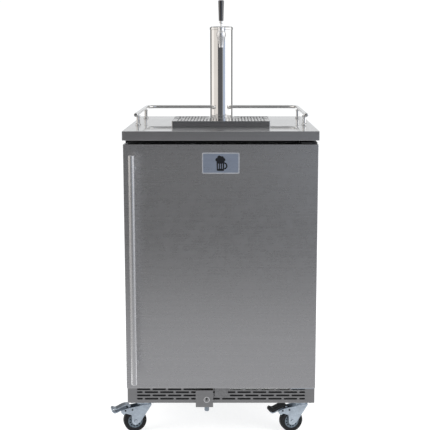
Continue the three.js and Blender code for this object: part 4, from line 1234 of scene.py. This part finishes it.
# ---- Door. A stainless pan, brushed across, foamed to a white inner panel whose ridge
# enters the case; a magnetic gasket in bellows form runs round it.
brushed_front = brushed_finish(
    "brushed_front", (0.535, 0.535, 0.545), (0.575, 0.575, 0.585), (0.25, 0.30), 0.35, (1.0, 0.0, 0.0),
    (9.0, 1300.0, 1300.0), (1.0, 120.0, 120.0),
)
softened("door_pan", "door_skin", brushed_front, "door", "brushed_steel", 1.4, 0.3, 4)
softened("door_inner_panel", "door_liner", white_moulding, "door", "white_plastic", 0.0, 0.8)
gasket_rubber = plain_finish(
    "gasket_rubber", (0.018, 0.018, 0.020), (0.030, 0.030, 0.032), (0.05, 0.05, 0.05), (0.5, 0.66), 0.0,
    600.0, 0.0004
)


def gasket_band(inset, width, front, back):
    outer = rectangle(inset - 290.5, 290.5 - inset, 185 + inset, 947 - inset, 4)
    far = inset + width
    inner = rectangle(far - 290.5, 290.5 - far, 185 + far, 947 - far, 2)
    return upright([outer, inner], front, back, 0.6, 3)


gasket_layers = [
    gasket_band(0, 20, 46.6, 49), gasket_band(4, 12, 48.6, 51), gasket_band(2, 16, 50.6, 53),
    gasket_band(1.5, 17, 52.6, 57.7),
]
build("bellows_gasket", gasket_layers, gasket_rubber, "door", "gasket_rubber", "door_gasket")

# ---- Door handle. A brushed stainless bar with domed ends, welded to two posts that are
# screwed from inside the door, each with a small collar.
brushed_bar = brushed_finish(
    "brushed_bar", (0.74, 0.74, 0.75), (0.82, 0.82, 0.83), (0.20, 0.28), 0.75, (0.0, 0.0, 1.0),
    (1500.0, 1500.0, 8.0), (180.0, 180.0, 2.0),
)
grip_bar = swept([(-271, -60, 206), (-271, -60, 933)], 9.75, 48, 2.6)
grip_posts = []
for z in (261, 885):
    foot = along_y(-271, 1.7, z)
    grip_posts.append(turned([(0, 0), (6, 0), (6, 58), (0, 58)], 36, foot))
    grip_posts.append(turned(rounded_profile([(0, 0), (8.4, 0), (8.4, 2.4), (0, 2.4)], 0.8), 40, foot))
build("grip_bar", [grip_bar, *grip_posts], brushed_bar, "door", "brushed_steel", "door_handle")

# ---- Badge. A small anodised plate glued to the door, with a raised border and a plain
# picture of a beer mug; it carries no lettering.
anodised_plate = brushed_finish(
    "anodised_plate", (0.60, 0.69, 0.86), (0.68, 0.77, 0.94), (0.26, 0.36), 0.3, (1.0, 0.0, 0.0),
    (20.0, 900.0, 900.0), (4.0, 90.0, 90.0),
)
bright_relief = brushed_finish(
    "bright_relief", (0.93, 0.94, 0.96), (0.97, 0.98, 1.0), (0.50, 0.60), 0.2, (1.0, 0.0, 0.0),
    (20.0, 900.0, 900.0), (4.0, 90.0, 90.0),
)
BADGE_PLACE = HOUSE @ shift(0, 0, 901)
badge_plate = upright([rectangle(-58, 58, -32.8, 32.8, 4, 6)], 0.7, 1.7, 0.2)
build("badge_ground", [badge_plate], anodised_plate, "door", "badge_steel", "badge_plate", place=BADGE_PLACE)
badge_border = upright(
    [rectangle(-57.6, 57.6, -32.4, 32.4, 4, 6), rectangle(-55.2, 55.2, -30.0, 30.0, 3, 6)], 0.25, 0.9, 0.2
)
dark_enamel = plain_finish(
    "dark_enamel", (0.004, 0.005, 0.007), (0.008, 0.009, 0.012), (0.02, 0.02, 0.03), (0.45, 0.6), 0.0,
    900.0, 0.0001
)
dark_enamel.node_tree.nodes["Principled BSDF"].inputs["Specular IOR Level"].default_value = 0.2
mug_body = filleted([(-12, -24), (10, -24), (11, 6), (-13, 6)], 2.2, 4)
mug_slots = [[(y + x, -a - 9.5) for a, y in oblong(0, 0, 17, 2.6, 5)] for x in (-7.2, -1, 5.2)]
mug_handle = arc(9, -8.5, 11.5, -78, 78, 14) + arc(9, -8.5, 7.6, 76, -76, 14)
froth = (
    arc(-10.5, 10.5, 5.8, 90, 262, 10) + [(8, 4.8)] + arc(8.5, 10.5, 5.8, -90, 90, 10)
    + arc(4, 16.5, 5.2, 10, 120, 8) + arc(-4.5, 17.5, 6.0, 40, 175, 8)
)
badge_mug = [
    upright([mug_body, *mug_slots], 0.35, 0.9, 0.15), upright([mug_handle], 0.35, 0.9, 0.15),
    upright([froth], 0.3, 0.9, 0.2),
]
build("badge_border", [badge_border], bright_relief, "door", "badge_steel", place=BADGE_PLACE)
build("badge_picture", badge_mug, dark_enamel, "door", "badge_steel", place=BADGE_PLACE)

# ---- Lock tab. A folded strip screwed under the door's bottom edge; it hangs over the
# grille, and the lock's cam turns in behind it.
tab_line = [(40, 171.7), (14.6, 171.7), (13.4, 171.2), (13.0, 170.0), (13.0, 138.2)]
tab_strip = cut_sheet([strip_outline(tab_line, 1.9)], -20, 22, SIDEWAYS, 0.4, 3)
# The same brushed steel in a darker tone: painted shade under the door's bottom edge.
shaded_tab_steel = brushed_finish(
    "shaded_tab_steel", (0.25, 0.25, 0.255), (0.29, 0.29, 0.295), (0.27, 0.33), 0.4, (1.0, 0.0, 0.0),
    (9.0, 1300.0, 1300.0), (1.2, 150.0, 150.0),
)
build("tab_strip", [tab_strip], shaded_tab_steel, "door", "brushed_steel", "lock_tab")

# ---- Worktop. A black-edged board, set back round the top of the door, and over it a
# stainless pan with folded edges, polished nearly to a mirror.
# A black board, made darker still as painted shade for the dark gap above the door.
core_board = plain_finish(
    "core_board", (0.003, 0.003, 0.0035), (0.006, 0.006, 0.0065), (0.02, 0.02, 0.02), (0.6, 0.8), 0.0,
    300.0, 0.0004
)
softened("worktop_board", "worktop_core", core_board, "cabinet", "core_board", 0.0, 0.5)
worktop_finish = brushed_finish(
    "worktop_finish", (0.44, 0.44, 0.445), (0.51, 0.51, 0.515), (0.30, 0.36), 0.35, (1.0, 0.0, 0.0),
    (8.0, 1200.0, 1200.0), (1.0, 110.0, 110.0), 0.00002,
)
worktop_shader = worktop_finish.node_tree.nodes["Principled BSDF"]
worktop_shader.inputs["Coat Weight"].default_value = 0.9
worktop_shader.inputs["Coat IOR"].default_value = 2.1
worktop_shader.inputs["Coat Roughness"].default_value = 0.02
softened("worktop_skin", "worktop", worktop_finish, "cabinet", "worktop_steel", 1.4, 0.3, 4)

# ---- Guard rail. Polished stainless tube bent into a U, with domed end caps, on four
# turned posts with a foot flange and a collar under the tube.
rail_line = bent([(-277, 170, 1039), (-277, 620, 1039), (277, 620, 1039), (277, 170, 1039)], 46, 14)
rail_tube = swept(rail_line, 6, 32, 2.4)
rail_caps = [
    turned(rounded_profile([(0, 0), (6.7, 0), (6.7, 4.2), (5.2, 5.6), (0, 6.2)], [0.8, 1.2, 1.6]), 32,
           along_y(x, 176, 1039))
    for x in (-277, 277)
]
build("rail_tube", [rail_tube, *rail_caps], polished_chrome, "cabinet", "bright_steel", "guard_rail")
post_profile = rounded_profile(
    [
        (0, 1000.3), (9, 1000.3), (9, 1002.8), (7.6, 1004.4), (5.9, 1006), (5.9, 1026), (7.2, 1028),
        (7.2, 1032.6), (0, 1032.6),
    ],
    [0.5, 1, 1, 1.5, 1.5, 0.8, 0.8],
)
for row, y in (("front", 255), ("rear", 570)):
    for side, x in (("left", -277), ("right", 277)):
        take_mesh(
            f"{row}_{side}_post", turned(post_profile, 40, HOUSE @ shift(x, y, 0)), polished_chrome,
            "cabinet",
            "bright_steel", f"rail_post_{row}_{side}",
        )

# ---- Tower. A 76 mm chromed tube on a slim welded foot ring, screwed down through the
# worktop, and a pressed cap with a rolled edge.
column_wall = turned(
    [(38.1, 1002), (38.1, 1313.7), (36.3, 1313.7), (36.3, 1002), (38.1, 1002)], 128, shift(0, 350, 0)
)
foot_ring = turned(
    [(27, 1000.3), (40.6, 1000.3), (41, 1000.8), (41, 1003.4), (40.4, 1004.6), (38.9, 1005.3), (27, 1005.3),
     (27, 1000.3)], 128, shift(0, 350, 0),
)
build("tower_tube", [column_wall, foot_ring], polished_chrome, "cabinet", "bright_steel", "tower_column")
cap_profile = rounded_profile(
    [
        (0, 1312.5), (35.3, 1312.5), (35.3, 1314), (39.2, 1314), (39.2, 1321.6), (35.5, 1325),
        (20, 1325.4), (0, 1325.5),
    ],
    [0.4, 0.3, 0.9, 2.4, 3, 2], 6,
)
take_mesh("tower_lid", turned(cap_profile, 128, HOUSE @ shift(0, 350, 0)), polished_chrome, "cabinet",
          "bright_steel", "tower_cap")

# ---- Shank and faucet. A chromed shank with a collar on the tower, the coupling nut that
# draws the faucet on, and the cast and polished faucet with its narrowing spout.
TAP_LINE = along_y(0, 350, 1298)
shank_body = turned([(4.5, -16), (11, -16), (11, 74), (4.5, 74), (4.5, -16)], 64, TAP_LINE)
shank_collar = turned(rounded_profile([(11, 38.4), (15, 38.4), (15, 50.1), (11, 50.1)], 0.9), 72, TAP_LINE)
shank_hex = cut_sheet([filleted(hexagon(23.4), 1.2, 3), arc(0, 0, 11, 0, 352, 44)], 22, 30, TAP_LINE, 0.8)
build(
    "shank_tube", [shank_body, shank_collar, shank_hex], polished_chrome, "cabinet", "bright_steel",
    "beer_shank",
)
ring_outline = []
for quarter in range(4):
    start = 45 + 90 * quarter
    ring_outline += arc(0, 0, 15.5, start + 8, start + 82, 12)
    angle = math.radians(start + 90)
    centre = (15.5 * math.cos(angle), 15.5 * math.sin(angle))
    ring_outline += arc(*centre, 2.0, start + 190, start + 350, 6)
nut_band = cut_sheet([ring_outline, arc(0, 0, 11.3, 0, 352, 44)], 61, 71, TAP_LINE, 0.3)
nut_ends = [
    turned(
        [(11.3, a), (15.0, a), (15.5, a + 0.6), (15.5, b - 0.6), (15.0, b), (11.3, b), (11.3, a)], 72,
        TAP_LINE,
    )
    for a, b in ((50.4, 61.2), (70.8, 82))
]
build("coupling_ring", [nut_band, *nut_ends], polished_chrome, "cabinet", "bright_steel", "coupling_nut")
spout_profile = [
    (4.5, 1255), (7.2, 1255), (7.75, 1255.6), (8.0, 1259), (8.6, 1265), (9.9, 1273), (11.5, 1281),
    (13.1, 1287),
    (14.0, 1292), (14.4, 1297), (14.2, 1301), (13.3, 1304.5), (12, 1307), (10.9, 1309), (10.5, 1311),
    (10.5, 1317.6),
    (11.3, 1318.4), (11.3, 1321.0), (10.8, 1321.5), (9.2, 1321.5), (6.1, 1312), (6.1, 1305.8), (9.6, 1302.6),
    (9.6, 1292), (4.5, 1285), (4.5, 1255),
]
spout = turned(spout_profile, 72, shift(0, 243, 0))
barrel = turned([(7.2, 0), (10.6, 0), (10.6, 20.4), (7.2, 20.4), (7.2, 0)], 64, along_y(0, 275.6, 1298))
barrel_flange = turned(
    [(10, 8.0), (13.0, 8.0), (13.5, 8.6), (13.5, 13.0), (12.6, 13.6), (10, 14.2), (10, 8.0)], 64,
    along_y(0, 275.6, 1298)
)
cast_chrome = brushed_finish(
    "cast_chrome", (0.90, 0.90, 0.905), (0.96, 0.96, 0.965), (0.26, 0.34), 0.0, (0.0, 0.0, 1.0),
    (300.0, 300.0, 300.0), (40.0, 40.0, 40.0), 0.00001,
)
build("faucet_casting", [spout, barrel, barrel_flange], cast_chrome, "cabinet", "bright_steel", "faucet_body")
softened("seal_shuttle", "faucet_shuttle", polished_chrome, "shuttle", "bright_steel", 0.0, 0.3)

# ---- Lever and tap handle. A chromed ball lever that tips forward in the faucet's mouth,
# with a locking collar, and a glossy black moulded handle screwed onto its thread.
lever_profile = [
    (0, 1297), (1.4, 1297), (1.8, 1297.5), (1.8, 1306.4), (3.2, 1307.1), (4.4, 1308.7), (5.0, 1311),
    (4.4, 1313.3),
    (3.2, 1314.7), (2.3, 1315.4), (2.3, 1331.6), (2.8, 1332.6), (4.9, 1333), (5.5, 1333.7), (5.5, 1340.0),
    (5.0, 1340.7),
    (0, 1340.7),
]
take_mesh("ball_lever", turned(lever_profile, 40, HOUSE @ shift(0, 243, 0)), polished_chrome, "tap",
          "bright_steel", "faucet_lever")
gloss_black, gloss_tree, gloss_shader = new_material("gloss_black")
gloss_marks = place_group(gloss_tree, handling, Patch_Size=24.0)
gloss_edges = place_group(gloss_tree, edge_wear, Amount=0.25)
gloss_tree.links.new(
    blend_in(gloss_tree, gloss_edges.outputs["Mask"],
             blend_in(
                 gloss_tree, gloss_marks.outputs["Patches"], (0.004, 0.004, 0.006), (0.007, 0.007, 0.010)
             ),
             (0.02, 0.02, 0.024)),
    gloss_shader.inputs["Base Color"],
)
gloss_tree.links.new(
    range_in(gloss_tree, gloss_marks.outputs["Smears"], 0.0, 1.0, 0.06, 0.16),
    gloss_shader.inputs["Roughness"]
)
gloss_shader.inputs["Coat Weight"].default_value = 1.0
gloss_shader.inputs["Coat IOR"].default_value = 1.8
gloss_shader.inputs["Coat Roughness"].default_value = 0.03
handle_profile = rounded_profile(
    [(0, 1341), (7.0, 1341), (7.7, 1342.4), (8.3, 1365), (9.5, 1404), (8.2, 1407.4), (0, 1408)],
    [0.6, 1, 12, 2.4, 2.6], 6,
)
take_mesh(
    "tap_knob", turned(handle_profile, 64, HOUSE @ shift(0, 243, 0)), gloss_black, "tap", "handle_plastic",
    "tap_handle",
)

# ---- Beer line. Clear-white vinyl tube from the shank's tail down the tower, ending in the
# grey quick connector for a keg.
line_vinyl = plain_finish(
    "line_vinyl", (0.70, 0.69, 0.62), (0.78, 0.77, 0.70), (0.82, 0.82, 0.78), (0.22, 0.34), 0.0, 500.0,
    0.0002, 0.1
)
line_path = bent(
    [(0, 366, 1298), (0, 373, 1298), (0, 372, 1238), (0, 350, 1098), (0, 350, 905)], 20, 8
)
line_tube = swept(line_path, 4, 24)
connector = turned(rounded_profile(
    [(0, 861), (6, 861), (6, 877), (12, 881), (12, 899), (7, 903), (7, 907), (0, 907)],
    [0.6, 1, 1.5, 1.5, 1.5, 0.6], 4
), 48, shift(0, 350, 0))
build("vinyl_line", [line_tube, connector], line_vinyl, "cabinet", "line_plastic", "beer_line")

# ---- Drip tray and grate. A shallow stainless tray, notched round the tower, and a
# perforated plate with turned-down edges and two finger holes that lifts out of it.


def tray_plan(inset, corner):
    half, front, back, radius = 160.5 - inset, 171 + inset, 405 - inset, 43 + inset
    notch = arc(0, 350, radius, 0, -180, 36)
    corners = [
        (-half, front), (half, front), (half, back), (radius, back), *notch, (-radius, back), (-half, back)
    ]
    radii = [corner] * 3 + [corner * 0.6] + [0] * len(notch) + [corner * 0.6, corner]
    return filleted(corners, radii, 5)


tray_steel = brushed_finish(
    "tray_steel", (0.58, 0.58, 0.585), (0.66, 0.66, 0.665), (0.10, 0.17), 0.35, (1.0, 0.0, 0.0),
    (8.0, 1200.0, 1200.0), (1.0, 110.0, 110.0), 0.00002,
)
tray_floor = cut_sheet([tray_plan(0.4, 2.6)], 1000.3, 1001.8, LEVEL, 0.4)
tray_wall = cut_sheet([tray_plan(0, 3), tray_plan(1.5, 1.6)], 1000.3, 1018.6, LEVEL, 0.45, 3)
build("tray_pan", [tray_floor, tray_wall], tray_steel, "tray", "worktop_steel", "drip_tray")
slot_shape = [(y, -x) for x, y in oblong(0, 0, 20, 5.2, 4)]
perforation = []
for column in range(28):
    for line_number in range(7):
        x, y = -141.75 + 10.5 * column, 190 + 31 * line_number
        near_tower = math.hypot(x, y - 350) < 60 or (abs(x) < 52 and y > 350)
        near_finger_hole = math.hypot(abs(x) - 144.5, (y - 288) * 0.6) < 15
        if not near_tower and not near_finger_hole:
            perforation.append([(x + a, y + b) for a, b in slot_shape])
finger_holes = [arc(s * 144.5, 288, 9, 0, 348, 29) for s in (-1, 1)]
grate_top = cut_sheet([tray_plan(2.2, 1.4), *finger_holes, *perforation], 1016.7, 1018.2, LEVEL, 0.25, 1)
grate_edges = [slab((-158, 173.3, 1002.3), (158, 174.5, 1017), 0.3)]
grate_edges += [slab((s * 46, 401.5, 1002.3), (s * 158, 402.7, 1017), 0.3) for s in (-1, 1)]
build("perforated_grate", [grate_top, *grate_edges], tray_steel, "grate", "worktop_steel", "drip_grate")
